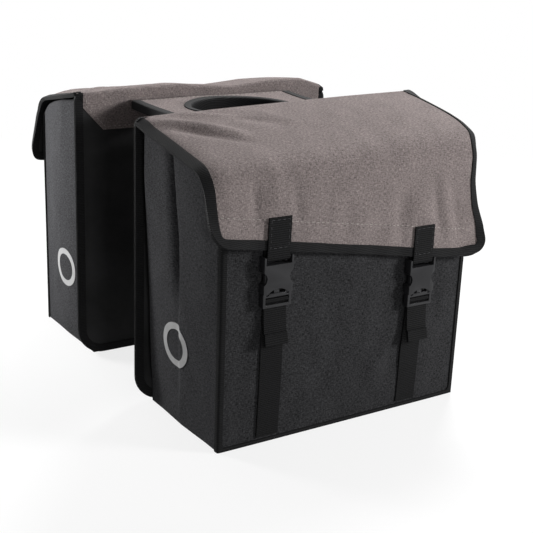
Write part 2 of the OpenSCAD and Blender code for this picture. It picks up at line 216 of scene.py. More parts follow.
# %% Floor
FLOOR_SIZE = 60.0
FLOOR_DROP = 0.5 * MM
FLOOR_COLOUR = (0.9, 0.9, 0.9, 1)
FLOOR_BOUNCE = (0.28, 0.28, 0.28, 1)
FLOOR_WHITE_NEAR = 0.8
FLOOR_FADE = (0.35, 1.6)


def make_floor():
    floor = add("floor", bpy.ops.mesh.primitive_plane_add, size=FLOOR_SIZE, location=(0, 0, -FLOOR_DROP))
    paper = bpy.data.materials.new("paper_floor")
    paper.use_nodes = True
    tree = paper.node_tree
    surface = tree.nodes["Principled BSDF"]
    fill(tree, surface, {"Base Color": FLOOR_COLOUR, "Roughness": 0.9})
    dull = wire(tree, "BsdfDiffuse", {"Color": FLOOR_BOUNCE})
    glow = wire(tree, "Emission")
    place = wire(tree, "TexCoord", give="Object")
    far = wire(tree, "VectorMath", {0: place}, "Value", operation="LENGTH")
    limits = {"From Min": FLOOR_FADE[0], "From Max": FLOOR_FADE[1], "To Min": FLOOR_WHITE_NEAR, "To Max": 1}
    fade = wire(tree, "MapRange", {"Value": far, **limits})
    lit = wire(tree, "MixShader", {"Fac": fade, 1: surface.outputs[0], 2: glow})
    shader = white_to_camera(tree, dull, lit)
    fill(tree, tree.nodes["Material Output"], {"Surface": shader})
    floor.data.materials.append(paper)


make_floor()
print("floor:", FLOOR_SIZE, "m of white paper")

# %% [markdown]
# ## Finishes
# Every finish is built from nodes. Cloth reads the piece's own UV map, which is laid out in metres on the flat
# cut, so that the threads follow the cloth over folds. Plastic, film, board and thread read Object coordinates.

# %% Node helpers
def new_finish(name, roughness, gloss):
    finish = bpy.data.materials.new(name)
    finish.use_nodes = True
    tree = finish.node_tree
    shader = tree.nodes["Principled BSDF"]
    fill(tree, shader, {"Roughness": roughness, "Specular IOR Level": gloss})
    return finish, tree, shader


def cloth_place(tree, across, along):
    """The cloth's own coordinates, counted in threads per metre each way."""
    place = wire(tree, "UVMap", uv_map="UVMap")
    return wire(tree, "VectorMath", {0: place, 1: (across, along, 1)}, operation="MULTIPLY")


def body_place(tree):
    return wire(tree, "TexCoord", give="Object")


def noise(tree, place, scale, detail=2.0, roughness=0.5):
    return wire(tree, "TexNoise", {"Vector": place, "Scale": scale, "Detail": detail, "Roughness": roughness})


def cloth_noise(tree, across, along, detail):
    return noise(tree, cloth_place(tree, across, along), 1.0, detail)


# %% Weave, colour and bump
ONE_RIB = 0.314


def ribs(tree, place, direction):
    """Evenly spaced ridges, one for each unit of the place."""
    return wire(tree, "TexWave", {"Vector": place, "Scale": ONE_RIB}, "Fac", bands_direction=direction)


def sums(tree, operation, first, second):
    return wire(tree, "Math", {0: first, 1: second}, operation=operation)


def mixture(tree, *parts):
    """Adds up sockets, each times its share."""
    total = None
    for socket, share in parts:
        part = sums(tree, "MULTIPLY", socket, share)
        total = part if total is None else sums(tree, "ADD", total, part)
    return total


def plain_weave(tree, pitch):
    threads = cloth_place(tree, 1 / pitch, 1 / pitch)
    return sums(tree, "MULTIPLY", ribs(tree, threads, "X"), ribs(tree, threads, "Y"))


def paint(tree, shader, tone, colour, *stops):
    """Colours a finish by a tone from 0 to 1; each stop is a tone and the share of the colour there."""
    node = tree.nodes.new("ShaderNodeValToRGB")
    band = node.color_ramp
    while len(band.elements) < len(stops):
        band.elements.new(0.5)
    for element, (at, share) in zip(band.elements, stops):
        element.position = at
        element.color = (*(c * share for c in colour), 1)
    fill(tree, node, {"Fac": tone})
    fill(tree, shader, {"Base Color": node.outputs["Color"]})


def bump(tree, shader, height, depth, strength=1.0):
    normal = wire(tree, "Bump", {"Distance": depth, "Strength": strength, "Height": height})
    fill(tree, shader, {"Normal": normal})


print("node helpers ready")

# %% [markdown]
# The canvas is a melange: pale and dark fibres are spun together, so it is mottled along its threads both ways.
# Two stretched noises make the slubs of warp and weft, a broad one makes the soft wear, and fine ribs make the
# weave. A picture of cloth could do the same, but nodes stay sharp from near and far.

# %% Canvas
WEAVE_PITCH = 1.5 * MM


def canvas(name, colour, contrast):
    finish, tree, shader = new_finish(name, 0.9, 0.06)
    warp = cloth_noise(tree, 800, 260, 1)
    weft = cloth_noise(tree, 260, 800, 1)
    grain = cloth_noise(tree, 900, 900, 1)
    broad = cloth_noise(tree, 40, 24, 3)
    mottle = mixture(tree, (warp, 0.3), (weft, 0.34), (grain, 0.24), (broad, 0.12))
    paint(tree, shader, mottle, colour, (0.36, 1 - contrast), (0.5, 1), (0.64, 1 + contrast * 1.15))
    bump(tree, shader, sums(tree, "ADD", plain_weave(tree, WEAVE_PITCH), mottle), 0.6 * MM, 0.8)
    return finish


TAUPE = canvas("taupe_canvas", (0.205, 0.174, 0.169), 0.52)
CHARCOAL = canvas("charcoal_canvas", (0.0295, 0.0295, 0.0311), 0.85)
GUSSET_GREY = canvas("gusset_canvas", (0.053, 0.053, 0.056), 0.6)
print("canvas:", TAUPE.name, CHARCOAL.name, GUSSET_GREY.name)

# %% [markdown]
# Tape and webbing are ribbed ribbons. Their ribs are close, dull and even, and their crests carry a painted
# highlight: the colour is a little lighter on top of each rib. A wave texture draws them along the ribbon's own
# UV map, so that they turn with it.

# %% Tape, webbing and lining
def ribbed(name, colour, pitch, depth):
    finish, tree, shader = new_finish(name, 0.65, 0.06)
    rib_with_painted_highlight = ribs(tree, cloth_place(tree, 1 / pitch, 1 / pitch), "Y")
    fuzz = cloth_noise(tree, 420, 420, 3)
    worn = cloth_noise(tree, 26, 26, 3)
    # The ribs feed the colour as well as the bump, so each rib's crest is painted lighter: a painted highlight.
    tone = mixture(tree, (rib_with_painted_highlight, 0.35), (fuzz, 0.35), (worn, 0.3))
    paint(tree, shader, tone, colour, (0.25, 0.55), (0.55, 1), (0.8, 1.9))
    bump(tree, shader, sums(tree, "ADD", rib_with_painted_highlight, fuzz), depth)
    return finish


TAPE = ribbed("binding_tape", (0.009, 0.009, 0.0094), 2.2 * MM, 0.3 * MM)
WEBBING = ribbed("webbing", (0.0058, 0.0058, 0.0061), 2.4 * MM, 0.4 * MM)
COATED_PITCH = 1.8 * MM


def coated(name, colour):
    """Black coated cloth: a plain weave that shows through a thin satin film."""
    finish, tree, shader = new_finish(name, 0.5, 0.08)
    broad = cloth_noise(tree, 14, 14, 4)
    paint(tree, shader, broad, colour, (0.3, 0.7), (0.7, 1.5))
    bump(tree, shader, mixture(tree, (plain_weave(tree, COATED_PITCH), 0.3), (broad, 5)), 0.6 * MM, 0.7)
    return finish


COATED = coated("coated_cloth", (0.019, 0.019, 0.0195))


def thread(name, colour):
    finish, tree, shader = new_finish(name, 0.75, 0.1)
    paint(tree, shader, noise(tree, body_place(tree), 900), colour, (0.3, 0.7), (0.7, 1.2))
    return finish


PALE_THREAD = thread("pale_thread", (0.36, 0.33, 0.31))
DARK_THREAD = thread("dark_thread", (0.06, 0.06, 0.062))
print("ribbons and lining:", TAPE.name, WEBBING.name, COATED.name)

# %% [markdown]
# The buckles are moulded in one satin plastic, with the faint grain of the mould. The rings are a silver film
# full of tiny glass beads, and the stiffening boards are pressed fibre. One grained finish makes all three,
# each with its own gloss and grain.

# %% Plastic, film and board
def grained(name, colour, roughness, gloss, scale, depth, contrast=0.25):
    finish, tree, shader = new_finish(name, roughness, gloss)
    grain = noise(tree, body_place(tree), scale, 3, 0.6)
    broad = noise(tree, body_place(tree), 35)
    tone = mixture(tree, (grain, 0.5), (broad, 0.5))
    paint(tree, shader, tone, colour, (0.35, 1 - contrast), (0.65, 1 + contrast))
    bump(tree, shader, grain, depth, 0.5)
    return finish


PLASTIC = grained("buckle_plastic", (0.017, 0.017, 0.0185), 0.34, 0.22, 1500, 0.05 * MM)
FILM = grained("reflective_film", (0.42, 0.42, 0.42), 0.5, 0.15, 2600, 0.06 * MM, 0.18)
BOARD = grained("board", (0.10, 0.10, 0.105), 0.8, 0.1, 600, 0.2 * MM)
print("solid finishes:", PLASTIC.name, FILM.name, BOARD.name)

# %% [markdown]
# ## Working by hand, in code
# An operator acts on whatever is selected, so each helper first selects the one piece that it means. Cloth
# starts as a flat grid. A shape function then lifts every point of the grid to its place on the bag, and the
# grid's UV map keeps where that point was on the flat cut.

# %% Picking a piece and giving it a modifier
bpy.context.tool_settings.mesh_select_mode = (False, False, True)


def pick(piece):
    bpy.ops.object.select_all(action="DESELECT")
    piece.select_set(True)
    bpy.context.view_layer.objects.active = piece


def apply(piece, kind, **settings):
    pick(piece)
    modifier = piece.modifiers.new(kind.title(), kind)
    for key, value in settings.items():
        setattr(modifier, key, value)
    bpy.ops.object.modifier_apply(modifier=modifier.name)


def smooth(piece, degrees=40):
    pick(piece)
    bpy.ops.object.shade_smooth_by_angle(angle=math.radians(degrees))


def wall(piece, thickness, offset=0.0, round_off=0.0, segments=2, sharp=60, soft=40, **settings):
    """Gives a sheet its thickness, rounds off its sharp edges and smooths the rest."""
    apply(piece, "SOLIDIFY", thickness=thickness, offset=offset, **settings)
    if round_off:
        limit = math.radians(sharp)
        apply(piece, "BEVEL", width=round_off, segments=segments, limit_method="ANGLE", angle_limit=limit)
    smooth(piece, soft)


# %% Sheets of cloth
def cloth_grid(name, columns, rows, place):
    """A grid of points; place(column, row) gives each point and its place on the flat cut."""
    piece = add(name, bpy.ops.mesh.primitive_grid_add, size=1,
                x_subdivisions=len(columns) - 1, y_subdivisions=len(rows) - 1)
    points = [place(column, row) for row in rows for column in columns]
    for vertex, (at, _) in zip(piece.data.vertices, points):
        vertex.co = at
    for corner, loop in zip(piece.data.uv_layers.active.data, piece.data.loops):
        corner.uv = points[loop.vertex_index][1]
    piece["columns"] = len(columns) - 1
    return piece


def flat_plane(name, place):
    """A flat rectangle; place(side, end) gives each corner, with side and end either -1 or 1."""
    piece = add(name, bpy.ops.mesh.primitive_plane_add, size=2)
    for vertex in piece.data.vertices:
        vertex.co = place(vertex.co.x, vertex.co.y)
    return piece


def face_outwards(piece, outside):
    """Turns a sheet's faces to look along the direction outside, on the whole."""
    looks = sum((face.normal * face.area for face in piece.data.polygons), Vector())
    if looks.dot(Vector(outside)) < 0:
        piece.data.flip_normals()


def cut_from(piece, name, keep):
    """A copy of the faces of a grid that keep(column, row) names, as a piece of its own."""
    pick(piece)
    bpy.ops.object.duplicate()
    part = bpy.context.object
    part.name = part.data.name = name
    for face in part.data.polygons:
        row, column = divmod(face.index, piece["columns"])
        face.select = not keep(column, row)
    bpy.ops.object.mode_set(mode="EDIT")
    bpy.ops.mesh.delete(type="FACE")
    bpy.ops.object.mode_set(mode="OBJECT")
    return part


# %% Flat cuts, finishes and joining
def spread(length, near, steps):
    """Places from 0 to length: close together near both ends, and even between."""
    inner = [near[-1] + (length - 2 * near[-1]) * k / steps for k in range(steps + 1)]
    return list(near[:-1]) + inner + [length - offset for offset in reversed(near[:-1])]


def wear(piece, *finishes):
    piece.data.materials.clear()
    for finish in finishes:
        piece.data.materials.append(finish)


def lay_flat_uv(piece, first, second):
    for corner, loop in zip(piece.data.uv_layers.active.data, piece.data.loops):
        at = piece.data.vertices[loop.vertex_index].co
        corner.uv = (at[first], at[second])


def flat_area(piece):
    """Area of the flat cut that a sheet's UV map holds."""
    uv = piece.data.uv_layers.active.data
    total = 0.0
    for face in piece.data.polygons:
        corners = [uv[i].uv for i in face.loop_indices]
        pairs = zip(corners, corners[1:] + corners[:1])
        total += abs(sum(a.x * b.y - b.x * a.y for a, b in pairs)) / 2
    return total


def join(name, *pieces):
    pick(pieces[0])
    for piece in pieces[1:]:
        piece.select_set(True)
    bpy.ops.object.join()
    joined = bpy.context.object
    joined.name = joined.data.name = name
    return joined


print("modelling helpers ready")

# %% [markdown]
# A list keeps what each finished piece belongs to: the body that it moves with, the nodes that it stands for,
# and the finish in the record. The left bag's copies are made from the same list.

# %% The list of finished pieces
PIECES = []


def belongs(piece, body, slot, *nodes):
    PIECES.append((piece, body, slot, nodes))
    print(piece.name, "on", body, "with", len(piece.data.polygons), "faces")


# %% [markdown]
# Cloth that is sewn down at its seams still gives between them. A short cloth simulation lets it: the seams are
# pinned, a little pressure fills the bag or weight draws it down, and no point may move further than its reach.

# %% Letting cloth settle
def settle(piece, held, pressure, weight, reach, frames=14):
    """Simulates a sheet for a few frames; held gives the vertices that the seams hold."""
    before = [vertex.co.copy() for vertex in piece.data.vertices]
    seams = piece.vertex_groups.new(name="seams")
    seams.add(held, 1.0, "REPLACE")
    pick(piece)
    modifier = piece.modifiers.new("Settle", "CLOTH")
    cloth = modifier.settings
    cloth.quality = 6
    cloth.mass = 0.25
    cloth.tension_stiffness = cloth.compression_stiffness = 25
    cloth.shear_stiffness = 12
    cloth.bending_stiffness = 2.5
    cloth.vertex_group_mass = seams.name
    cloth.use_pressure = pressure > 0
    cloth.uniform_pressure_force = pressure
    cloth.effector_weights.gravity = weight
    modifier.collision_settings.use_collision = False
    modifier.point_cache.frame_start = 1
    modifier.point_cache.frame_end = frames
    for moment in range(1, frames + 1):
        bpy.context.scene.frame_set(moment)
    bpy.ops.object.modifier_apply(modifier=modifier.name)
    bpy.context.scene.frame_set(1)
    moved = 0.0
    for vertex, rest in zip(piece.data.vertices, before):
        step = vertex.co - rest
        moved = max(moved, step.length)
        if step.length > reach:
            vertex.co = rest + step * (reach / step.length)
    piece.vertex_groups.clear()
    print(piece.name, "settled by up to", round(min(moved, reach) / MM, 1), "mm")


# %% [markdown]
# ## The shell of the bag
# The front and the two side gussets are sewn into one U. It is lofted as one grid, from the base seam up to the
# mouth, so that the three panels share their seams exactly. Each gusset has a crease that stands out halfway,
# where it folds when the bag is pressed flat. The front swells a little where the load settles. A second shell
# without the deep pleat is lofted too, because the left bag is stuffed less.

# %% Curves and folds
def ramp(value, low, high):
    return min(1.0, max(0.0, (value - low) / (high - low)))


def bell(value, middle, width):
    return math.exp(-((value - middle) / width) ** 2)


def straight_points(points, at):
    """Straight lines between points, and level past both ends."""
    at = min(max(at, points[0][0]), points[-1][0])
    for (x0, y0), (x1, y1) in zip(points, points[1:]):
        if at <= x1:
            return y0 + (y1 - y0) * (at - x0) / (x1 - x0)


def along_points(points, x):
    """The same for points that are given in millimetres."""
    return straight_points(points, x / MM) * MM


def smooth_points(points, at):
    """A soft curve through points: level where it turns, and eased between."""
    for (x0, y0), (x1, y1) in zip(points, points[1:]):
        if at <= x1:
            share = (at - x0) / (x1 - x0)
            return y0 + (y1 - y0) * (0.5 * share + 0.5 * share * share * (3 - 2 * share))
    return points[-1][1]


def fold_between(at, start, stop, width):
    """A soft ridge along the line from start to stop: 1 at its middle, 0 away from it."""
    along = Vector(stop) - Vector(start)
    away = Vector(at) - Vector(start)
    share = away.dot(along) / along.length_squared
    if not 0 < share < 1:
        return 0.0
    return math.sin(math.pi * share) * bell((away - share * along).length, 0, width)


def wrinkles(folds, at):
    """Adds up folds; each has its start, its stop, its width and its depth."""
    return sum(depth * fold_between(at, start, stop, wide) for start, stop, wide, depth in folds)


# %% Shape of the front
FRONT_SWELL = 4.2 * MM
FOLDS_FULL_Z = 30 * MM
RIPPLE = 1.0 * MM
RIPPLE_W = 118 * MM
RIPPLE_H = 240 * MM


def in_metres(x0, z0, x1, z1, wide, depth):
    return (x0 * MM, z0 * MM), (x1 * MM, z1 * MM), wide * MM, depth * MM


FRONT_FOLDS = [in_metres(*fold) for fold in (
    (20, 22, 92, 150, 8, 3.4),
    (58, 18, 82, 96, 6, -2.6),
    (-84, 16, -30, 120, 10, 2.6),
    (-152, 60, -142, 230, 8, -2.2),
    (152, 90, 138, 250, 9, 2.2),
    (-10, 130, 20, 270, 13, 2.2),
)]


def front_swell(x, z):
    side = math.cos(0.5 * math.pi * min(1.0, abs(x) / BAG_HALF)) ** 0.7
    rise = math.sin(math.pi * min(1.0, z / MOUTH_Z) ** 0.8) ** 0.9 if 0 < z < MOUTH_Z else 0.0
    ripple = RIPPLE * math.sin(2 * math.pi * x / RIPPLE_W + 0.8) * math.sin(math.pi * z / RIPPLE_H + 0.4)
    return (FRONT_SWELL + ripple) * side * rise + wrinkles(FRONT_FOLDS, (x, z)) * ramp(z, 0, FOLDS_FULL_Z)


print("front: swells", round(front_swell(0, MOUTH_Z / 2) / MM, 1), "mm in its middle")

# %% Shape of the gussets
CREASE_OUT = 14 * MM
CREASE_FOOT = 2 * MM
CREASE_FULL_Z = 160 * MM
CREASE_LINE = [(0, 0.5), (68, 0.54), (165, 0.575), (234, 0.56), (277, 0.51), (340, 0.45)]
BACK_FACET = [(0, 0.25), (0.05, 0.95), (0.12, 1.22), (0.22, 1.1), (0.34, 0.98), (0.47, 0.92), (0.6, 0.9),
              (0.7, 0.82), (0.78, 0.52), (0.86, 0.13), (0.91, 0), (0.95, 0.3), (0.98, 0.8), (1, 1)]
FRONT_FACET = [(0, 1), (0.06, 0.99), (0.3, 0.86), (0.6, 0.58), (0.85, 0.24), (1, 0)]
GROOVE_LEAST = 0.3
GROOVE_GROWS_Z = (148 * MM, 196 * MM)
BULGE_LEAST = 0.57
BULGE_GAIN = 0.46
BULGE_GROWS_Z = (150 * MM, 285 * MM)
BULGE_ENDS = (0.3, 0.39)
PLEAT_FOOT_Z = (6 * MM, 50 * MM)
PLEAT_HEAD_Z = (290 * MM, 340 * MM)
PLEAT_HEAD_LOSS = 0.35
DRIFT = 1.2 * MM
DRIFT_H = 48 * MM
PUCKER = 1.3 * MM
PUCKER_H = 13 * MM
PUCKER_FADE = 45 * MM
FLARE_OUT = 6 * MM
FLARE_FROM_Z = 290 * MM
FLAT_FACETS = 0.35
GUSSET_EDGE = [(0, 0), (0.5, -11), (0.72, -20), (0.86, -28), (0.95, -39)]


def crease_out(z):
    return CREASE_FOOT + (CREASE_OUT - CREASE_FOOT) * ramp(z, 0, CREASE_FULL_Z) ** 0.6


def gusset_pleat(g, z):
    """The pleat pressed in behind the crease, which is at g = 0.5, as a departure from two flat facets."""
    folded = smooth_points(BACK_FACET, 2 * g) if g < 0.5 else smooth_points(FRONT_FACET, 2 * g - 1)
    groove = GROOVE_LEAST + (1 - GROOVE_LEAST) * ramp(z, *GROOVE_GROWS_Z)
    bulge = BULGE_LEAST + BULGE_GAIN * ramp(z, *BULGE_GROWS_Z)
    depth = (groove + (bulge - groove) * (1 - ramp(g, *BULGE_ENDS))) * ramp(z, *PLEAT_FOOT_Z)
    depth *= 1 - PLEAT_HEAD_LOSS * ramp(z, *PLEAT_HEAD_Z)
    drift = DRIFT * math.sin(z / DRIFT_H + 9 * g) * min(1.0, 6 * g * (1 - g)) * abs(2 * g - 1)
    return depth * (crease_out(z) * (folded - 1 + abs(2 * g - 1)) + drift)


def gusset_out(g, z, pleat):
    """How far the gusset stands out: two facets, the pleat, a flare at the top and puckers at the base."""
    plain = 1 - abs(2 * g - 1)
    flare = FLARE_OUT * ramp(z, FLARE_FROM_Z, GUSSET_TOP) * max(0.0, 1 - 2 * g)
    pucker = PUCKER * math.sin(z / PUCKER_H) * math.exp(-z / PUCKER_FADE)
    facets = crease_out(z) * (1 - FLAT_FACETS * (1 - pleat))
    return (facets + pucker) * plain + flare + gusset_pleat(g, z) * pleat


def gusset_deep(g, z):
    """Share of the depth at which g lies: the crease wanders forward as it comes down."""
    crease_at = along_points(CREASE_LINE, z) / MM
    return 2 * g * crease_at if g < 0.5 else 1 - 2 * (1 - g) * (1 - crease_at)


def gusset_top(g):
    """Height of a gusset's free edge, which runs down under the lid to the mouth."""
    edge = [(x, GUSSET_TOP + drop * MM) for x, drop in GUSSET_EDGE] + [(1.0, MOUTH_Z)]
    return straight_points(edge, g)


print("gusset: its crease stands out", round(crease_out(MOUTH_Z) / MM, 1), "mm")

# %% Loft the shell
SEAM_STEPS = [0, 1.5 * MM, 3.5 * MM, SEAM_TAPE_W, 14 * MM]
GUSSET_STEPS = [0, 0.02, 0.04, 0.07, 0.1, 0.14, 0.18, 0.22, 0.26, 0.3, 0.34, 0.37, 0.4, 0.43, 0.455, 0.475,
                0.49, 0.5, 0.51, 0.53, 0.57, 0.62, 0.69, 0.76, 0.83, 0.9, 0.965, 0.985]
MOUTH_STEPS = [TAPE_W, 6 * MM, 2 * MM, 0]
FRONT_COLUMNS = 36
RISING_ROWS = 26


def shell_columns():
    """Columns from the aft back seam round the front to the fore back seam, as (panel, place)."""
    front = [("front", p - BAG_HALF) for p in spread(2 * BAG_HALF, SEAM_STEPS, FRONT_COLUMNS)]
    return [("aft", g) for g in GUSSET_STEPS] + front + [("fore", g) for g in reversed(GUSSET_STEPS)]


def shell_rows():
    """Rows from the base seam to the mouth, as (share of the way up, fixed offset)."""
    low = [(0, step) for step in SEAM_STEPS]
    middle = [(k / RISING_ROWS, SEAM_STEPS[-1] * (1 - k / RISING_ROWS) - TAPE_W * k / RISING_ROWS)
              for k in range(1, RISING_ROWS)]
    high = [(1, -step) for step in MOUTH_STEPS]
    return low + middle + high


def shell_point(pleat):
    """Gives the function that places a point of the shell, with a share of the pleat pressed in."""
    def point(column, row):
        panel, place = column
        share, offset = row
        if panel == "front":
            z = share * MOUTH_Z + offset
            return out(place, FRONT_D + front_swell(place, z), z), (place, z)
        z = share * gusset_top(place) + offset
        side = -1 if panel == "aft" else 1
        depth = FRONT_D - SEAM_D
        x = side * (BAG_HALF + gusset_out(place, z, pleat))
        share = gusset_deep(place, z)
        return out(x, SEAM_D + share * depth, z), (side * (BAG_HALF + (1 - share) * depth), z)

    return point


SHELL_COLUMNS = shell_columns()
SHELL_ROWS = shell_rows()
SHELL = cloth_grid("right_shell", SHELL_COLUMNS, SHELL_ROWS, shell_point(1))
FLAT_SHELL = cloth_grid("flat_shell", SHELL_COLUMNS, SHELL_ROWS, shell_point(0))
for shell in (SHELL, FLAT_SHELL):
    face_outwards(shell, (0, -1, 0))
print("shell:", len(SHELL_COLUMNS), "by", len(SHELL_ROWS), "points")

# %% Fill the shell
FRONT_FIRST = len(GUSSET_STEPS)
FRONT_LAST = len(SHELL_COLUMNS) - len(GUSSET_STEPS) - 1


def shell_seams():
    wide = len(SHELL_COLUMNS)
    held_columns = {0, FRONT_FIRST, FRONT_LAST, wide - 1}
    top = len(SHELL_ROWS) - 1
    return [r * wide + c for r in range(top + 1) for c in range(wide)
            if r in (0, top) or c in held_columns]


for shell in (SHELL, FLAT_SHELL):
    settle(shell, shell_seams(), pressure=0.35, weight=0.3, reach=1.4 * MM)

# %% Front and gussets
def line_with_coating(piece, outer, offset=-1):
    """Gives a sheet its thickness: canvas outside and black coating inside."""
    apply(piece, "SUBSURF", levels=1, render_levels=1)
    wear(piece, outer, COATED)
    wall(piece, CLOTH_T, offset, material_offset=1, use_even_offset=True)


PANELS = {
    "front": (FRONT_FIRST, FRONT_LAST, CHARCOAL, "right_front_panel", "charcoal_canvas"),
    "gusset_aft": (0, FRONT_FIRST, GUSSET_GREY, "right_gusset_aft", "gusset_canvas"),
    "gusset_fore": (FRONT_LAST, len(SHELL_COLUMNS) - 1, GUSSET_GREY, "right_gusset_fore", "gusset_canvas"),
}


def shell_part(shell, name, panel):
    """One panel of a shell, with its thickness, and the area of its flat cut."""
    first, last, finish, _, _ = PANELS[panel]
    top = len(SHELL_ROWS) - (2 if panel == "front" else 1)
    part = cut_from(shell, name, lambda column, row: first <= column < last and 0 < row < top)
    cut_area = flat_area(part)
    line_with_coating(part, finish)
    return part, cut_area


SHELL_PART = {}
FLATTER = {}
for panel, (_, _, _, node, slot) in PANELS.items():
    part, cut_area = shell_part(SHELL, f"right_{panel}_cloth", panel)
    belongs(part, "right_bag", slot, node)
    SHELL_PART[panel] = part
    if panel != "front":
        FLATTER[part.name], _ = shell_part(FLAT_SHELL, f"flatter_{panel}", panel)
bpy.data.objects.remove(FLAT_SHELL)

# %% [markdown]
# ## Tape round the front and on the mouth
# Seam tape is folded over the raw edges of the front panel. Cutting it from the shell's own faces makes it
# follow every swell of the cloth, and a thicker wall with rounded edges lets it stand proud.

# %% Seam tape
TAPE_COLUMNS = len(SEAM_STEPS) - 2
FRONT_TAPE_T = 4.4 * MM
FRONT_TAPE_ROUND = 1.1 * MM
MOUTH_TAPE_ROUND = 0.6 * MM


def tape_from(piece, name, keep, thickness, round_off, offset=0.0):
    tape = cut_from(piece, name, keep)
    apply(tape, "SUBSURF", levels=1, render_levels=1)
    wear(tape, TAPE)
    wall(tape, thickness, offset, round_off, segments=3, sharp=50, soft=60, use_even_offset=True)
    return tape


def on_front_edge(column, row):
    aft_edge = FRONT_FIRST - 2 <= column < FRONT_FIRST + TAPE_COLUMNS
    fore_edge = FRONT_LAST - TAPE_COLUMNS <= column <= FRONT_LAST + 1
    foot = FRONT_FIRST <= column < FRONT_LAST and row < TAPE_COLUMNS
    return aft_edge or fore_edge or foot


def on_mouth(column, row):
    inside = FRONT_FIRST + TAPE_COLUMNS <= column < FRONT_LAST - TAPE_COLUMNS
    return inside and row >= len(SHELL_ROWS) - len(MOUTH_STEPS)


FRONT_TAPE = tape_from(SHELL, "right_front_tape", on_front_edge, FRONT_TAPE_T, FRONT_TAPE_ROUND, -0.3)
belongs(FRONT_TAPE, "right_bag", "binding_tape", "right_front_binding")
MOUTH_TAPE = tape_from(SHELL, "right_mouth_tape", on_mouth, CLOTH_T + 2 * TAPE_T, MOUTH_TAPE_ROUND, -0.9)
belongs(MOUTH_TAPE, "right_bag", "binding_tape", "right_rim_binding")
bpy.data.objects.remove(SHELL)

# %% [markdown]
# ## The base
# The base is a flat canvas rectangle that the load presses down on its board. A plane is inset for its hem, and
# the middle is raised a hair, so that the bag stands on its hem as a real one does. A simulation would pull its
# corners in, and insets keep them square.

# %% Base panel
BASE_HEM = 9 * MM
BASE_STEP = 2 * MM
BASE_RISE = 0.8 * MM
BASE_ROUND = 0.5 * MM


def make_base():
    low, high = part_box("right_base_panel")
    base = flat_plane("right_base_cloth", lambda side, end: (
        low.x if side < 0 else high.x, low.y if end < 0 else high.y, 0))
    bpy.ops.object.mode_set(mode="EDIT")
    bpy.ops.mesh.select_all(action="SELECT")
    bpy.ops.mesh.inset(thickness=BASE_HEM)
    bpy.ops.mesh.inset(thickness=BASE_STEP)
    bpy.ops.transform.translate(value=(0, 0, BASE_RISE))
    bpy.ops.mesh.select_all(action="SELECT")
    bpy.ops.mesh.normals_make_consistent(inside=True)
    bpy.ops.object.mode_set(mode="OBJECT")
    face_outwards(base, (0, 0, -1))
    lay_flat_uv(base, 0, 1)
    cut_area = flat_area(base)
    wear(base, CHARCOAL, COATED)
    wall(base, CLOTH_T - BASE_RISE, -1, BASE_ROUND, material_offset=1)
    belongs(base, "right_bag", "charcoal_canvas", "right_base_panel")


make_base()

# %% [markdown]
# ## The inner panel
# The wheel side is one stiff panel of black coated cloth, wider than the bag, with round lower corners and a
# taped edge. A plane gets its round corners from a vertex bevel. An inset of the same outline is exactly as
# wide as the tape. So the two always fit.

# %% Outline of the inner panel
PANEL_CORNERS = {"low": 36 * MM, "high": 9 * MM}
PANEL_T = 2 * MM
CREST_ARCH = [(-198, -3), (-100, 0), (0, 3), (100, 5.8), (198, 7.5)]


def crest_lift(x):
    """How far the stuffed crest arches above its straight line, as the photograph shows."""
    return along_points(CREST_ARCH, x)


def round_corners(panel, radius, chosen):
    """Rounds the corners of a flat panel whose height is chosen."""
    bpy.context.tool_settings.mesh_select_mode = (True, False, False)
    bpy.ops.object.mode_set(mode="EDIT")
    bpy.ops.mesh.select_all(action="DESELECT")
    bpy.ops.object.mode_set(mode="OBJECT")
    for vertex in panel.data.vertices:
        vertex.select = chosen(vertex.co.z)
    bpy.ops.object.mode_set(mode="EDIT")
    bpy.ops.mesh.bevel(offset=radius, segments=10, affect="VERTICES")
    bpy.ops.object.mode_set(mode="OBJECT")
    bpy.context.tool_settings.mesh_select_mode = (False, False, True)


def panel_outline(name):
    def corner(side, end):
        x = side * PANEL_HALF
        return out(x, PANEL_T / 2, PANEL_LOW.z if end < 0 else PANEL_TOP + max(0.0, crest_lift(x)))

    panel = flat_plane(name, corner)
    round_corners(panel, PANEL_CORNERS["low"], lambda z: z < PANEL_LOW.z + MM)
    round_corners(panel, PANEL_CORNERS["high"], lambda z: z > PANEL_TOP - MM)
    return panel


# %% Inner panel and its tape
TAPE_ROUND = 1.2 * MM


def make_inner_panel():
    panel = panel_outline("right_inner_cloth")
    face_outwards(panel, (0, 1, 0))
    lay_flat_uv(panel, 0, 2)
    cut_area = flat_area(panel)
    wear(panel, COATED)
    wall(panel, PANEL_T)
    belongs(panel, "right_bag", "coated_cloth", "right_inner_panel")


def make_inner_tape():
    tape = panel_outline("right_inner_tape")
    bpy.ops.object.mode_set(mode="EDIT")
    bpy.ops.mesh.select_all(action="SELECT")
    bpy.ops.mesh.inset(thickness=TAPE_W)
    bpy.ops.mesh.delete(type="FACE")
    bpy.ops.object.mode_set(mode="OBJECT")
    for face in tape.data.polygons:
        face.select = face.center.z > PANEL_TOP - TAPE_W and abs(face.center.x) < PANEL_HALF - TAPE_W
    bpy.ops.object.mode_set(mode="EDIT")
    bpy.ops.mesh.delete(type="FACE")
    bpy.ops.mesh.select_all(action="SELECT")
    bpy.ops.mesh.subdivide(number_cuts=2)
    bpy.ops.object.mode_set(mode="OBJECT")
    face_outwards(tape, (0, 1, 0))
    lay_flat_uv(tape, 0, 2)
    wear(tape, TAPE)
    wall(tape, PANEL_T + 2 * TAPE_T, 0, TAPE_ROUND, segments=3, soft=60)
    belongs(tape, "right_bag", "binding_tape", "right_inner_binding")


make_inner_panel()
make_inner_tape()

# %% [markdown]
# ## The yoke
# The lid's canvas runs on over the crest and down the wheel side, where it is sewn to the inner panel with its
# lower corners cut off. It is a grid whose lower rows are drawn in by the cut, and it bends over the crest at
# its top. It could be part of the lid's grid, but it stays still when the lid opens, so it is a piece of its
# own.

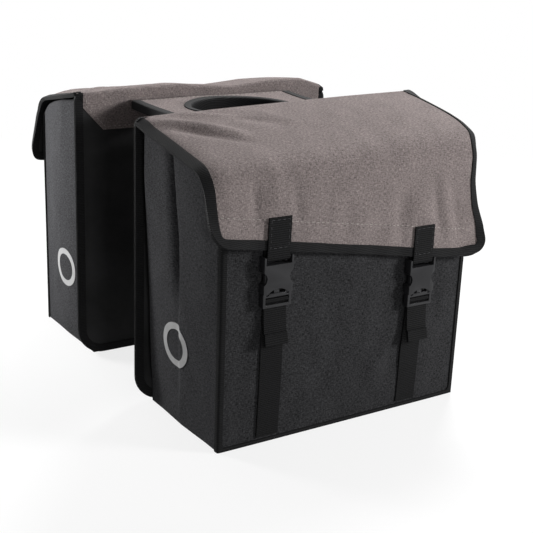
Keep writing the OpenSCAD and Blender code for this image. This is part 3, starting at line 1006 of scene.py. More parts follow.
# %% Yoke
YOKE_LOW, YOKE_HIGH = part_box("right_yoke")
YOKE_T = 1.2 * MM
YOKE_CUT = 28 * MM
YOKE_BEND = [(0.8, 0.4), (-0.5, -0.6), (-1.2, -2.2)]
YOKE_COLUMNS = 48
YOKE_DROPS = 14
YOKE_LAY = -0.72
YOKE_WAVE = 0.25
YOKE_WAVE_L = 23 * MM
CLOTH_ROUND = 0.4 * MM


def yoke_point(share, row):
    half = YOKE_HIGH.x
    top = CREST_Z + crest_lift(share * half)
    d, drop = YOKE_BEND[min(row, len(YOKE_BEND) - 1)]
    x, z = share * half, top + drop * MM
    if row >= len(YOKE_BEND):
        fall = (row - len(YOKE_BEND) + 1) / YOKE_DROPS
        z += fall * (YOKE_LOW.z - z)
        x = share * (half - max(0.0, YOKE_CUT - (z - YOKE_LOW.z)))
        d = YOKE_LAY - YOKE_WAVE * math.sin(x / YOKE_WAVE_L) * fall
    return out(x, d * MM, z), (x, z)


def make_yoke():
    columns = [-1 + 2 * k / YOKE_COLUMNS for k in range(YOKE_COLUMNS + 1)]
    yoke = cloth_grid("right_yoke_cloth", columns, range(len(YOKE_BEND) + YOKE_DROPS), yoke_point)
    face_outwards(yoke, (0, 1, 0))
    cut_area = flat_area(yoke)
    wear(yoke, TAUPE)
    wall(yoke, YOKE_T, 0, CLOTH_ROUND)
    belongs(yoke, "right_bag", "taupe_canvas", "right_yoke")


make_yoke()

# %% [markdown]
# ## The lid
# The lid is one lined cut of canvas. From the crest it slopes out, folds over the mouth in a soft round, and
# hangs in front. Its lower edge falls towards the fore end, as in the photograph, where the buckles pull the
# cloth askew. Its profile is a line, an arc and a line; across it, shallow folds grow towards the free edge. A
# cloth simulation alone would not find these folds, so they are modelled, and a short one only eases them.

# %% Hem of the lid
BUCKLE_REACH = 65.6 * MM


def strap_place(end):
    """Middle of a lower strap, and the height of its top."""
    low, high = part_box(f"right_lower_strap_{end}")
    return (low.x + high.x) / 2, high.z


STRAPS = {end: strap_place(end) for end in ("aft", "fore")}
HEM_SAG = [(-198, 0.5), (-150, 1.5), (-60, 2.0), (20, 3.2), (70, 4.6), (120, 4.4), (160, 2.4), (185, -2.5),
           (198, -5)]


def lid_line_z(x):
    """Height of the straight line between the two ends of the hem."""
    (x0, z0), (x1, z1) = STRAPS["aft"], STRAPS["fore"]
    return z0 + BUCKLE_REACH + (z1 - z0) * (x - x0) / (x1 - x0)


def lid_edge_z(x):
    return lid_line_z(x) - along_points(HEM_SAG, x)


HEM_FALL = lid_edge_z(-PANEL_HALF) - lid_edge_z(PANEL_HALF)
print("lid: its hem falls", round(HEM_FALL / MM, 1), "mm from end to end")

# %% Profile of the lid
LID_PITCH = math.radians(11)
LID_LEAN = math.radians(5)
LID_FOLD_R = 35 * MM
LID_GAP = 3.6 * MM


def lid_lengths():
    """Length of the top up to the fold, and the centre of the fold."""
    top = Vector((math.cos(LID_PITCH), -math.sin(LID_PITCH)))
    face = Vector((math.sin(LID_LEAN), -math.cos(LID_LEAN)))
    gap = Vector((FRONT_D + LID_GAP - CREST_D, MOUTH_Z - CREST_Z))
    reach = (gap.x * face.y - gap.y * face.x) / (top.x * face.y - top.y * face.x)
    turn = math.pi / 2 - LID_PITCH - LID_LEAN
    straight = reach - LID_FOLD_R * math.tan(turn / 2)
    start = Vector((CREST_D, CREST_Z)) + straight * top
    return straight, turn, start - LID_FOLD_R * Vector((math.sin(LID_PITCH), math.cos(LID_PITCH)))


LID_TOP_L, LID_TURN, LID_FOLD_AT = lid_lengths()
LID_FACE_S = LID_TOP_L + LID_FOLD_R * LID_TURN
LID_FACE_Z = LID_FOLD_AT.y + LID_FOLD_R * math.sin(LID_LEAN)


def lid_line(s):
    """Point (d, z) and outward direction of the lid's profile at s along the cloth from the crest."""
    if s < LID_TOP_L:
        at = Vector((CREST_D + s * math.cos(LID_PITCH), CREST_Z - s * math.sin(LID_PITCH)))
        return at, Vector((math.sin(LID_PITCH), math.cos(LID_PITCH)))
    angle = max(math.pi / 2 - LID_PITCH - (s - LID_TOP_L) / LID_FOLD_R, LID_LEAN)
    away = Vector((math.cos(angle), math.sin(angle)))
    past = max(0.0, s - LID_FACE_S)
    return LID_FOLD_AT + LID_FOLD_R * away + past * Vector((math.sin(LID_LEAN), -math.cos(LID_LEAN))), away


def lid_face_l(x):
    return (LID_FACE_Z - lid_edge_z(x)) / math.cos(LID_LEAN)


def lid_long(x):
    """Length of the cloth from the crest to the hem."""
    return LID_FACE_S + lid_face_l(x)


LID_PARTS = {"top": LID_TOP_L, "fold": LID_FOLD_R * LID_TURN, "front": lid_face_l(0)}
print("lid:", ", ".join(f"{part} {round(size, 4)}" for part, size in LID_PARTS.items()))

# %% Creases and sides of the lid
STRAP_NEAR = 22 * MM
FORE_END_X = 40 * MM
LID_CREASES = [
    ((-196, 4), (-96, 98), 8, 6.0),
    ((-188, 30), (-104, 118), 7, -5.0),
    ((-158, 2), (-58, 46), 7, 4.0),
    ((-128, -6), (-36, 84), 8, -2.6),
    ((-60, 10), (-20, 90), 9, 1.6),
    ((-139, 168), (-136, 236), 5, -4.2),
    ((-87, 168), (-84, 238), 5, -3.8),
    ((-112, 150), (-112, 214), 8, 2.0),
    ((-30, 190), (-34, 280), 9, 1.6),
    ((66, 190), (62, 285), 7, -2.4),
    ((121, 186), (126, 270), 6, -3.4),
    ((140, 186), (142, 290), 8, 2.4),
    ((158, 196), (160, 300), 6, -2.0),
    ((160, 282), (200, 266), 4, -5.0),
    ((146, 298), (192, 284), 4, 3.0),
]
FORE_EDGE = [(0, 9), (0.1, 11), (0.2, 9), (0.3, 8), (0.385, 7), (0.47, 1), (0.51, -5), (0.55, -11), (0.62, -16),
             (0.7, -18), (0.8, -14.5), (0.9, -5), (1, -1)]


def lid_side(x, s):
    """How far the lid's fore end spreads at the crest and draws in at the fold."""
    share = ramp(s, 0, lid_long(x))
    return straight_points(FORE_EDGE, share) * MM * ramp(x, FORE_END_X, PANEL_HALF) ** 1.4


def near_straps(x):
    """1 on a strap, 0 well away from both."""
    return max(bell(x, at, STRAP_NEAR) for at, _ in STRAPS.values())


def lid_wrinkles(x, s):
    return wrinkles(LID_CREASES, (x / MM, s / MM)) * MM


# %% Folds of the lid
FOLD_WAVES = [(97 * MM, 1.3 * MM, 0.6), (53 * MM, 0.8 * MM, 2.1), (171 * MM, 1.4 * MM, 4.0)]
AFT_FLARE = 11 * MM
AFT_FLARE_W = 38 * MM
FORE_FLARE = 10 * MM
FORE_FLARE_W = 26 * MM
TOP_PUFF = 5 * MM
PUFF_EDGE = 90 * MM
END_DROOP = 7 * MM
END_DROOP_W = 24 * MM
FORE_DROOP = 0.8
FORE_DROOP_S = (2 * MM, 25 * MM)
HANG_FROM = 20 * MM
SEWN_FLAT = (48 * MM, 30 * MM)


def lid_end_droop(x, s):
    """The cloth past the end of the bag has nothing under it, so it turns down."""
    past_bag = ramp(-x, PANEL_HALF - END_DROOP_W, PANEL_HALF)
    past_bag += FORE_DROOP * ramp(x, PANEL_HALF - TAPE_W, PANEL_HALF) * ramp(s, *FORE_DROOP_S)
    return END_DROOP * past_bag ** 1.7


def lid_hang(x, s):
    """0 on the top of the lid, growing to 1 at its free edge."""
    return ramp(s, LID_FACE_S - HANG_FROM, lid_long(x))


def lid_relief(x, s):
    """How far the cloth stands out from the plain profile."""
    hang = lid_hang(x, s)
    relief = hang * sum(a * math.sin(2 * math.pi * x / length + phase) for length, a, phase in FOLD_WAVES)
    relief += AFT_FLARE * hang ** 2 * math.exp(-(x + PANEL_HALF) / AFT_FLARE_W)
    relief += FORE_FLARE * hang ** 3 * math.exp(-(PANEL_HALF - x) / FORE_FLARE_W)
    relief += lid_wrinkles(x, s)
    sewn_from, sewn = (lid_long(x) - above for above in SEWN_FLAT)
    relief *= 1 - near_straps(x) * ramp(s, sewn_from, sewn)
    on_top = math.sin(math.pi * min(1.0, s / (LID_FACE_S * 1.02)) ** 0.8) ** 0.75
    inside = min(1.0, (PANEL_HALF - abs(x)) / PUFF_EDGE)
    puff = TOP_PUFF * on_top * math.sin(0.5 * math.pi * inside)
    return relief + puff - lid_end_droop(x, s) * (1 - hang)


print("lid: stands out", round(lid_relief(0, LID_TOP_L) / MM, 1), "mm at its fold")

# %% Grid of the lid
LID_CORNER_R = 22 * MM
HEM_STEPS = [0, 1.2 * MM, 3 * MM, 6.5 * MM, TAPE_W, 17 * MM, 25 * MM]
LIFT_KEPT = [(0, 1), (30, 1.15), (60, 1.3), (90, 1.35), (115, 1.2), (141, 0.9), (164, 0.4), (186, 0)]
TOP_ROWS = 22
FOLD_ROWS = 10
FACE_ROWS = 9
LID_STEPS = 60


def lid_rows():
    """Rows from the crest to the hem, as (part of the lid, place in it)."""
    top = [("top", LID_TOP_L * k / TOP_ROWS) for k in range(TOP_ROWS + 1)]
    fold = [("top", LID_TOP_L + LID_FOLD_R * LID_TURN * k / FOLD_ROWS) for k in range(1, FOLD_ROWS + 1)]
    face = [("face", k / FACE_ROWS) for k in range(1, FACE_ROWS)]
    return top + fold + face + [("hem", step) for step in reversed(HEM_STEPS)]


def lid_run(x, row):
    """Distance from the crest along the cloth, and height above the hem."""
    part, place = row
    s = place
    if part == "face":
        s = LID_FACE_S + place * (lid_face_l(x) - HEM_STEPS[-1])
    elif part == "hem":
        s = lid_long(x) - place
    return s, lid_long(x) - s


def lid_point(p, row):
    x = p - PANEL_HALF
    s, above = lid_run(x, row)
    low = max(0.0, LID_CORNER_R - above)
    drawn = LID_CORNER_R - math.sqrt(LID_CORNER_R ** 2 - low ** 2)
    x -= math.copysign(drawn * abs(x) / PANEL_HALF, x)
    s, _ = lid_run(x, row)
    at, away = lid_line(s)
    at = at + away * lid_relief(x, s)
    lift = crest_lift(x)
    lift *= straight_points(LIFT_KEPT, s / MM) if lift > 0 else 1 - ramp(s, 0, LID_TOP_L * 1.1)
    return out(x + lid_side(x, s), at.x, at.y + lift), (x, s)


LID_COLUMNS = spread(2 * PANEL_HALF, HEM_STEPS, LID_STEPS)
LID_ROWS = lid_rows()
LID_GRID = cloth_grid("right_lid_cloth", LID_COLUMNS, LID_ROWS, lid_point)
face_outwards(LID_GRID, (0, -1, 1))
print("lid grid:", len(LID_COLUMNS), "by", len(LID_ROWS), "points")

# %% Let the lid hang
CREST_ROWS = 2
STRAP_HOLDS = 0.6


def lid_seams():
    """The crest and the strips under the two straps are held."""
    wide = len(LID_COLUMNS)
    held = []
    for r, (part, _) in enumerate(LID_ROWS):
        for c, p in enumerate(LID_COLUMNS):
            under_strap = part != "top" and near_straps(p - PANEL_HALF) > STRAP_HOLDS
            if r < CREST_ROWS or under_strap:
                held.append(r * wide + c)
    return held


settle(LID_GRID, lid_seams(), pressure=0.0, weight=0.25, reach=0.7 * MM)

# %% Lid tape, then the lid itself
HEM_FACES = HEM_STEPS.index(TAPE_W)


def on_lid_edge(column, row):
    side = column < HEM_FACES or column >= len(LID_COLUMNS) - 1 - HEM_FACES
    return side or row >= len(LID_ROWS) - 1 - HEM_FACES


def within_tape(column, row):
    return 0 < column < len(LID_COLUMNS) - 2 and row < len(LID_ROWS) - 2


LID_TAPE = tape_from(LID_GRID, "right_lid_tape", on_lid_edge, CLOTH_T + 2.4 * TAPE_T, TAPE_ROUND)
belongs(LID_TAPE, "right_lid", "binding_tape", "right_lid_binding")
LID = cut_from(LID_GRID, "right_lid_canvas", within_tape)
bpy.data.objects.remove(LID_GRID)
LID_AREA = flat_area(LID)
line_with_coating(LID, TAUPE, offset=0)
belongs(LID, "right_lid", "taupe_canvas", "right_lid")

# %% [markdown]
# ## Stitches
# A seam shows as a row of short dashes. One stitch is a small flattened bead; an Array modifier repeats it
# along a curve and a Curve modifier bends the row to the cloth. A bump could draw the dashes, but solid beads
# catch the light from every side.

# %% A row of stitches
STITCH_L = 4.4 * MM
STITCH_GAP = 2.6 * MM


def stitch_row(name, points, finish, width=0.9 * MM):
    curve = bpy.data.curves.new(name, "CURVE")
    curve.dimensions = "3D"
    line = curve.splines.new("POLY")
    line.points.add(len(points) - 1)
    for knot, at in zip(line.points, points):
        knot.co = (*at, 1)
    path = bpy.data.objects.new(name + "_path", curve)
    bpy.context.scene.collection.objects.link(path)
    row = add(name, bpy.ops.mesh.primitive_uv_sphere_add, segments=8, ring_count=5, radius=0.5)
    row.data.transform(Matrix.Rotation(math.pi / 2, 4, "Y"))
    row.data.transform(Matrix.Diagonal((STITCH_L, width, width, 1)))
    row.data.transform(Matrix.Translation((STITCH_L / 2, 0, 0)))
    apply(row, "ARRAY", fit_type="FIT_CURVE", curve=path, use_relative_offset=False,
          use_constant_offset=True, constant_offset_displace=(STITCH_L + STITCH_GAP, 0, 0))
    apply(row, "CURVE", object=path, deform_axis="POS_X")
    bpy.data.objects.remove(path)
    wear(row, finish)
    smooth(row)
    return row


def walk(corners, steps):
    """Points along straight lines from corner to corner, up to the last corner but without it."""
    points = []
    for start, stop in zip(corners, corners[1:]):
        points += [tuple(a + (b - a) * k / steps for a, b in zip(start, stop)) for k in range(steps)]
    return points


print("stitches:", round((STITCH_L + STITCH_GAP) / MM, 1), "mm apart")

# %% Stitches along the hem of the lid
HEM_LINE = 32 * MM
HEM_LINE_X = (-184, 177, 4)
THREAD_STAND = 0.15 * MM
THREAD_LIFT = 0.1 * MM


def hem_line(x):
    """A point of the lid's outer side, a fixed way above the straight line of the hem."""
    s = lid_long(x) - HEM_LINE - lid_line_z(x) + lid_edge_z(x)
    at, away = lid_line(s)
    at = at + away * (lid_relief(x, s) + CLOTH_T / 2 + THREAD_STAND)
    return out(x + lid_side(x, s), at.x, at.y)


hem_points = [hem_line(x * MM) for x in range(*HEM_LINE_X)]
HEM_STITCHES = stitch_row("right_lid_hem_stitches", hem_points, PALE_THREAD)
apply(HEM_STITCHES, "SHRINKWRAP", target=LID, wrap_method="NEAREST_SURFACEPOINT", wrap_mode="OUTSIDE",
      offset=THREAD_LIFT)
belongs(HEM_STITCHES, "right_lid", "taupe_canvas")

# %% [markdown]
# ## Straps
# Webbing is a flat woven strip, so it is modelled flat: a narrow grid follows a path seen from the side, and a
# thin wall with soft edges makes the weave's thickness. A bevelled curve could make it too, but a grid keeps a
# UV map in metres for the ribs.

# %% Webbing helper
WEBBING_W = 30 * MM
WEBBING_ROUND = 0.45 * MM


def webbing(name, x, path, lean=0.0):
    """A strap of webbing whose middle line is path, a list of (d, z), at x along the bicycle."""
    runs = [0.0]
    for (d0, z0), (d1, z1) in zip(path, path[1:]):
        runs.append(runs[-1] + math.hypot(d1 - d0, z1 - z0))

    def point(share, row):
        d, z = path[row]
        side = share * WEBBING_W / 2
        return out(x + side + lean * (z - path[0][1]), d, z), (side, runs[row])

    strap = cloth_grid(name, [-1, -0.93, -0.6, 0, 0.6, 0.93, 1], range(len(path)), point)
    face_outwards(strap, (0, -1, 0))
    wear(strap, WEBBING)
    return strap


def thicken(strap):
    wall(strap, WEBBING_T, 0, WEBBING_ROUND, soft=50, use_even_offset=True)


def bow(centre, r, start, stop, steps=12):
    """Points of an arc in the side view, with angles in degrees."""
    angles = [math.radians(start + (stop - start) * k / steps) for k in range(steps + 1)]
    return [(centre[0] + r * math.cos(a), centre[1] + r * math.sin(a)) for a in angles]


print("webbing:", round(WEBBING_W / MM, 1), "mm wide")

# %% Straps on the lid
BUCKLE_HANG = 7 * MM
LOOP_BAR_R = 2.0 * MM
STRAP_SEWN = 38 * MM
STRAP_BACK = 20 * MM
STRAP_STEPS = 10
STRAP_LEAN = 0.07
LOOP_R = CLOTH_T / 2 + TAPE_T * 1.4 + WEBBING_T / 2


def lid_strap(end):
    x, _ = STRAPS[end]
    edge = lid_long(x)
    away = Vector((math.cos(LID_LEAN), math.sin(LID_LEAN)))

    def beside(above, stand):
        return tuple(lid_line(edge - above)[0] + stand * away)

    shares = [k / STRAP_STEPS for k in range(STRAP_STEPS + 1)]
    front = [beside(STRAP_SEWN * (1 - share), LOOP_R) for share in shares]
    back = [beside(STRAP_BACK * share, -LOOP_R) for share in shares]
    bar = (lid_line(edge)[0].x, lid_line_z(x) - BUCKLE_HANG - LOOP_BAR_R)
    path = front + bow(bar, LOOP_R, 0, -180) + back
    strap = webbing(f"right_lid_strap_{end}", x + STRAP_LEAN * STRAP_SEWN, path, STRAP_LEAN)
    thicken(strap)
    return strap


LID_STRAPS = join("right_lid_webbing", *[lid_strap(end) for end in STRAPS])
belongs(LID_STRAPS, "right_lid", "webbing", "right_lid_straps")

# %% Stitches that hold the straps to the lid
SEWN_INSET = 3.2 * MM
SEWN_LOW = 4 * MM
SEWN_STEPS = 8
DARK_STITCH_W = 0.7 * MM


def strap_stitches(end):
    x, _ = STRAPS[end]
    stand = LOOP_R + WEBBING_T / 2 + THREAD_LIFT
    half, top = WEBBING_W / 2 - SEWN_INSET, STRAP_SEWN - SEWN_INSET
    points = []
    corners = [(-half, top), (half, top), (half, SEWN_LOW), (-half, SEWN_LOW), (-half, top)]
    for side, above in walk(corners, SEWN_STEPS):
        at, away = lid_line(lid_long(x) - above)
        at = at + away * stand
        points.append(out(x + side + STRAP_LEAN * above, at.x, at.y))
    return stitch_row(f"right_strap_stitches_{end}", points, DARK_THREAD, DARK_STITCH_W)


belongs(join("right_strap_stitches", *[strap_stitches(end) for end in STRAPS]), "right_lid", "webbing")

# %% Lower straps
LOWER_SEWN = 32 * MM
LOWER_STEPS = 28
FRONT_LAY = 0.9 * MM


def lower_strap(end):
    x, _ = STRAPS[end]
    low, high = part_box(f"right_lower_strap_{end}")
    top_d = deep(high.y) + WEBBING_T / 2
    head_d = deep(low.y) - WEBBING_T / 2
    path = []
    for k in range(LOWER_STEPS + 1):
        z = low.z + (high.z - low.z) * k / LOWER_STEPS
        line = top_d + (head_d - top_d) * ramp(z, low.z + LOWER_SEWN, high.z)
        path.append((max(line, FRONT_D + front_swell(x, z) + FRONT_LAY + WEBBING_T / 2), z))
    path[-1] = (head_d, high.z)
    strap = webbing(f"right_lower_webbing_{end}", x, path)
    apply(strap, "SHRINKWRAP", target=SHELL_PART["front"], wrap_method="NEAREST_SURFACEPOINT",
          wrap_mode="OUTSIDE", offset=FRONT_LAY)
    thicken(strap)
    return strap


for end in STRAPS:
    belongs(lower_strap(end), "right_bag", "webbing", f"right_lower_strap_{end}")

# %% Tucked loops and tails
PLUG_BAR_R = 1.5 * MM
TUCK_R = PLUG_BAR_R + 0.1 * MM + WEBBING_T / 2
TUCK_RISE = (0.2 * MM, 4 * MM)
TAIL_L = 44 * MM
TAIL_SWING = 5 * MM
TAIL_STEPS = 8
TAIL_HEM = [(0.8, -0.5), (1.7, 0), (0.4, 6.5), (-0.7, 13)]
PLUG_FOOT_H = 3.2 * MM
PLUG_FOOT_BACK = 0.75 * MM
BAR_ABOVE_FOOT = 7.6 * MM


def tuck(end):
    """Webbing up behind the bar of the plug, over it, and down in front as a loose tail with a folded hem."""
    x, _ = STRAPS[end]
    low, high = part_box(f"right_plug_{end}")
    middle = deep((low.y + high.y) / 2)
    foot_d = middle - PLUG_FOOT_BACK
    rise = [(middle - TUCK_R, low.z + up) for up in TUCK_RISE]
    over = bow((middle, low.z + BAR_ABOVE_FOOT), TUCK_R, 180, -38)
    slot = [(foot_d, low.z + PLUG_FOOT_H), (foot_d, low.z)]
    shares = [k / TAIL_STEPS for k in range(1, TAIL_STEPS + 1)]
    hang = [(foot_d + TAIL_SWING * share ** 2, low.z - TAIL_L * share) for share in shares]
    end_d, end_z = hang[-1]
    hem = [(end_d + d * MM, end_z + z * MM) for d, z in TAIL_HEM]
    strap = webbing(f"right_tail_{end}", x, rise + over + slot + hang + hem)
    thicken(strap)
    return strap


for end in STRAPS:
    belongs(tuck(end), f"right_plug_{end}", "webbing", f"right_strap_loop_{end}")

# %% [markdown]
# ## Buckles
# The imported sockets, plugs and prongs already have the right shape, with sharp edges. A copy of each has its
# doubled points merged and its flat faces cleaned, and a bevel then rounds its edges as a mould does. Modelling
# them again could only move them from where the joints hold them.

# %% Moulded pieces
MOULD_ROUND = {"socket": 1.1 * MM, "plug": 0.5 * MM}


def moulded(node, name, radius):
    copy = bpy.data.objects.new(name, frame["nodes"][node].data.copy())
    copy.data.name = name
    bpy.context.scene.collection.objects.link(copy)
    pick(copy)
    bpy.ops.object.mode_set(mode="EDIT")
    bpy.ops.mesh.select_all(action="SELECT")
    bpy.ops.mesh.remove_doubles(threshold=0.002 * MM)
    bpy.ops.mesh.dissolve_limited(angle_limit=math.radians(2))
    bpy.ops.object.mode_set(mode="OBJECT")
    apply(copy, "BEVEL", width=radius, segments=3, limit_method="ANGLE", angle_limit=math.radians(40))
    smooth(copy, 35)
    wear(copy, PLASTIC)
    return copy


SOCKETS = moulded("right_sockets", "right_socket_mouldings", MOULD_ROUND["socket"])
belongs(SOCKETS, "right_lid", "buckle_plastic", "right_sockets")
for end in STRAPS:
    for kind, tail in (("plug", end), ("prong", f"{end}_a"), ("prong", f"{end}_b")):
        node = f"right_{kind}_{tail}"
        moulding = moulded(node, f"right_{kind}_moulding_{tail}", MOULD_ROUND["plug"])
        belongs(moulding, node, "buckle_plastic", node)

# %% [markdown]
# ## Reflective rings
# Each gusset carries a ring of silver film, pressed on across the crease. A flat ring is projected onto the
# finished gusset and smoothed a little, so that it bends with the cloth.

# %% Rings
RING_LOW, RING_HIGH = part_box("right_rings")
RING_AT = (deep((RING_LOW.y + RING_HIGH.y) / 2) - 3 * MM, (RING_LOW.z + RING_HIGH.z) / 2 + 5 * MM)
RING_WIDEN = 1.07
RING_R = (RING_HIGH.z - RING_LOW.z) / 2
RING_STROKE = 8 * MM
RING_TURNS = 72
FILM_T = 0.4 * MM
FILM_LIFT = 0.35 * MM
WELD_REACH = 0.01 * MM


def ring(end, gusset):
    side = -1 if end == "aft" else 1

    def point(turn, r):
        angle = 2 * math.pi * turn / RING_TURNS
        at = (RING_AT[0] + RING_WIDEN * r * math.cos(angle), RING_AT[1] + r * math.sin(angle))
        return out(side * (BAG_HALF + CREASE_OUT), *at), at

    radii = [RING_R - RING_STROKE * k / 5 for k in range(6)]
    film = cloth_grid(f"right_ring_{end}", range(RING_TURNS + 1), radii, point)
    apply(film, "WELD", merge_threshold=WELD_REACH)
    face_outwards(film, (side, 0, 0))
    apply(film, "SHRINKWRAP", target=gusset, wrap_method="PROJECT", wrap_mode="ABOVE_SURFACE", offset=FILM_LIFT,
          use_project_x=True, use_negative_direction=True, use_positive_direction=True)
    apply(film, "SMOOTH", factor=0.5, iterations=6, use_y=False, use_z=False)
    wear(film, FILM)
    wall(film, FILM_T, 1)
    return film


RINGS = join("right_ring_film", *[ring(end, SHELL_PART[f"gusset_{end}"]) for end in STRAPS])
belongs(RINGS, "right_bag", "reflective_film", "right_rings")
FLAT_RINGS = [ring(end, FLATTER[f"right_gusset_{end}_cloth"]) for end in STRAPS]
FLATTER[RINGS.name] = join("flatter_rings", *FLAT_RINGS)

# %% [markdown]
# ## The bridge
# The bridge is a canvas rectangle with a hand hole. Its grid runs round the hole, from the hole's rim out to
# the rectangle, so that both edges are clean. It sags a little between the bags, and a black lining lies under
# it. The tape of the hole and of the open edges is turned down, so that the cloth shows a thick edge.

# %% Shape of the bridge
BRIDGE_HALF_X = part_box("bridge_cloth")[1].x
BRIDGE_SEAM = JOINT["left_bag_swing"]["pos_m"]
BRIDGE_HALF_Y = BRIDGE_SEAM[1]
BRIDGE_SAG = 4 * MM
SAG_L = 60 * MM
BRIDGE_WAVE = 0.5 * MM
WAVE_X = 21 * MM
WAVE_Y = 30 * MM
BRIDGE_T = 2.0 * MM
LINING_T = 1.4 * MM
HOLE_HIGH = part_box("hand_hole_rim")[1]
RIM_W = 8 * MM
RIM_STEPS = [0, 2 * MM, 5 * MM, RIM_W]
RIM_DROP = 15 * MM
BRIDGE_STEPS = {"across": 18, "along": 26}


def bridge_z(x, y):
    sag = BRIDGE_SAG * (1 - (y / BRIDGE_HALF_Y) ** 2) * (0.75 + 0.25 * math.cos(x / SAG_L))
    return BRIDGE_SEAM[2] - sag + BRIDGE_WAVE * math.sin(x / WAVE_X) * math.cos(y / WAVE_Y)


def bridge_round():
    """Points of the rectangle, in order, with its corners among them."""
    corners = [(-1, -1), (1, -1), (1, 1), (-1, 1), (-1, -1)]
    points = []
    for start, stop in zip(corners, corners[1:]):
        points += walk([start, stop], BRIDGE_STEPS["along" if start[1] == stop[1] else "across"])
    return points + points[:1]


def bridge_point(edge, ring_place):
    kind, step = ring_place
    angle = math.atan2(edge[1], edge[0])
    round_hole = Vector((math.cos(angle), math.sin(angle)))
    rim = round_hole * Vector((HOLE_HIGH.x, HOLE_HIGH.y))
    hole = round_hole * Vector((HOLE_HIGH.x - RIM_W, HOLE_HIGH.y - RIM_W))
    end = Vector((BRIDGE_HALF_X * edge[0], BRIDGE_HALF_Y * edge[1]))
    at = rim.lerp(end, step) if kind == "cloth" else hole.lerp(rim, max(0.0, step))
    drop = RIM_DROP * step if kind == "turned" else 0.0
    return Vector((at.x, at.y, bridge_z(at.x, at.y) + drop)), (at.x, at.y + drop)


BRIDGE_ROUND = bridge_round()
BRIDGE_RINGS = [("rim", step / RIM_W) for step in RIM_STEPS] + [("cloth", k / 9) for k in range(1, 10)]
RIM_RINGS = [("turned", -1), ("turned", -0.6), ("turned", -0.25)] + BRIDGE_RINGS[:len(RIM_STEPS)]
RIM_ROWS = len(RIM_STEPS) - 1
BRIDGE = cloth_grid("bridge_canvas", BRIDGE_ROUND, BRIDGE_RINGS, bridge_point)
face_outwards(BRIDGE, (0, 0, 1))
print("bridge grid:", len(BRIDGE_ROUND), "by", len(BRIDGE_RINGS), "points")

# %% Layers of the bridge
def lay_bridge(piece, finish, thickness, lower):
    apply(piece, "WELD", merge_threshold=WELD_REACH)
    piece.data.transform(Matrix.Translation((0, 0, -lower)))
    wear(piece, finish)
    wall(piece, thickness, 0, CLOTH_ROUND)


def fasten(nodes):
    if nodes:
        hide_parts(*nodes)


def ride_on_bridge(piece, slot, *nodes):
    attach(piece, "bridge")
    fasten(nodes)
    print(piece.name, "on bridge with", len(piece.data.polygons), "faces")


RIM_GRID = cloth_grid("hand_hole_grid", BRIDGE_ROUND, RIM_RINGS, bridge_point)
face_outwards(RIM_GRID, (0, 0, 1))
RIM = tape_from(RIM_GRID, "hand_hole_tape", lambda column, row: True, BRIDGE_T + 3 * TAPE_T, TAPE_ROUND)
bpy.data.objects.remove(RIM_GRID)
LINING = cut_from(BRIDGE, "bridge_underside", lambda column, row: RIM_ROWS <= row < len(BRIDGE_RINGS) - 2)
BRIDGE_AREA = flat_area(BRIDGE)
lay_bridge(BRIDGE, TAUPE, BRIDGE_T, 0)
lay_bridge(LINING, COATED, LINING_T, (BRIDGE_T + LINING_T) / 2)
ride_on_bridge(BRIDGE, "taupe_canvas", "bridge_cloth")
ride_on_bridge(LINING, "coated_cloth", "bridge_lining")
ride_on_bridge(RIM, "binding_tape", "hand_hole_rim")

# %% Tape on the open edges of the bridge
BRIDGE_TAPE_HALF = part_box("bridge_bindings")[1].y
TAPE_PAST = 0.6 * MM
EDGE_STEPS = 12


def bridge_edge(name, side):
    def point(inwards, share):
        x = side * (BRIDGE_HALF_X + TAPE_PAST - max(0.0, inwards))
        y = share * BRIDGE_TAPE_HALF
        return Vector((x, y, bridge_z(x, y) + min(0.0, inwards))), (inwards, y)

    steps = [-9 * MM, -6 * MM, -3 * MM, -MM, 0, MM, 3 * MM, 7 * MM, TAPE_W]
    tape = cloth_grid(name, steps, [k / EDGE_STEPS for k in range(-EDGE_STEPS, EDGE_STEPS + 1)], point)
    face_outwards(tape, (0, 0, 1))
    wear(tape, TAPE)
    wall(tape, BRIDGE_T + 2 * TAPE_T, 0, TAPE_ROUND, segments=3, soft=60)
    return tape


EDGE_TAPE = join("bridge_edge_tape", bridge_edge("bridge_edge_aft", -1), bridge_edge("bridge_edge_fore", 1))
ride_on_bridge(EDGE_TAPE, "binding_tape", "bridge_bindings")

# %% Stitches of the bridge and the yoke
BRIDGE_STITCH_Y = BRIDGE_HALF_Y - 7 * MM
BRIDGE_STITCH_X = (-104, 105, 4)
YOKE_STITCH_IN = 4 * MM
YOKE_STITCH_TOP = PANEL_TOP - 8 * MM
YOKE_STITCH_STEPS = 12
YOKE_THREAD_D = -YOKE_T - 0.5 * MM


def bridge_stitches():
    rows = []
    for side in (-1, 1):
        y = side * BRIDGE_STITCH_Y
        stand = BRIDGE_T / 2 + THREAD_STAND
        points = [Vector((x * MM, y, bridge_z(x * MM, y) + stand)) for x in range(*BRIDGE_STITCH_X)]
        rows.append(stitch_row(f"bridge_stitches_{side}", points, PALE_THREAD))
    return join("bridge_stitches", *rows)


def yoke_stitches():
    half, low = YOKE_HIGH.x - YOKE_STITCH_IN, YOKE_LOW.z + YOKE_STITCH_IN
    cut = YOKE_CUT - 0.4 * YOKE_STITCH_IN
    corners = [(-half, YOKE_STITCH_TOP), (-half, low + cut), (-half + cut, low), (half - cut, low),
               (half, low + cut), (half, YOKE_STITCH_TOP)]
    points = [out(x, YOKE_THREAD_D, z) for x, z in walk(corners, YOKE_STITCH_STEPS) + corners[-1:]]
    return stitch_row("right_yoke_stitches", points, PALE_THREAD)


ride_on_bridge(bridge_stitches(), "taupe_canvas")
belongs(yoke_stitches(), "right_bag", "taupe_canvas")

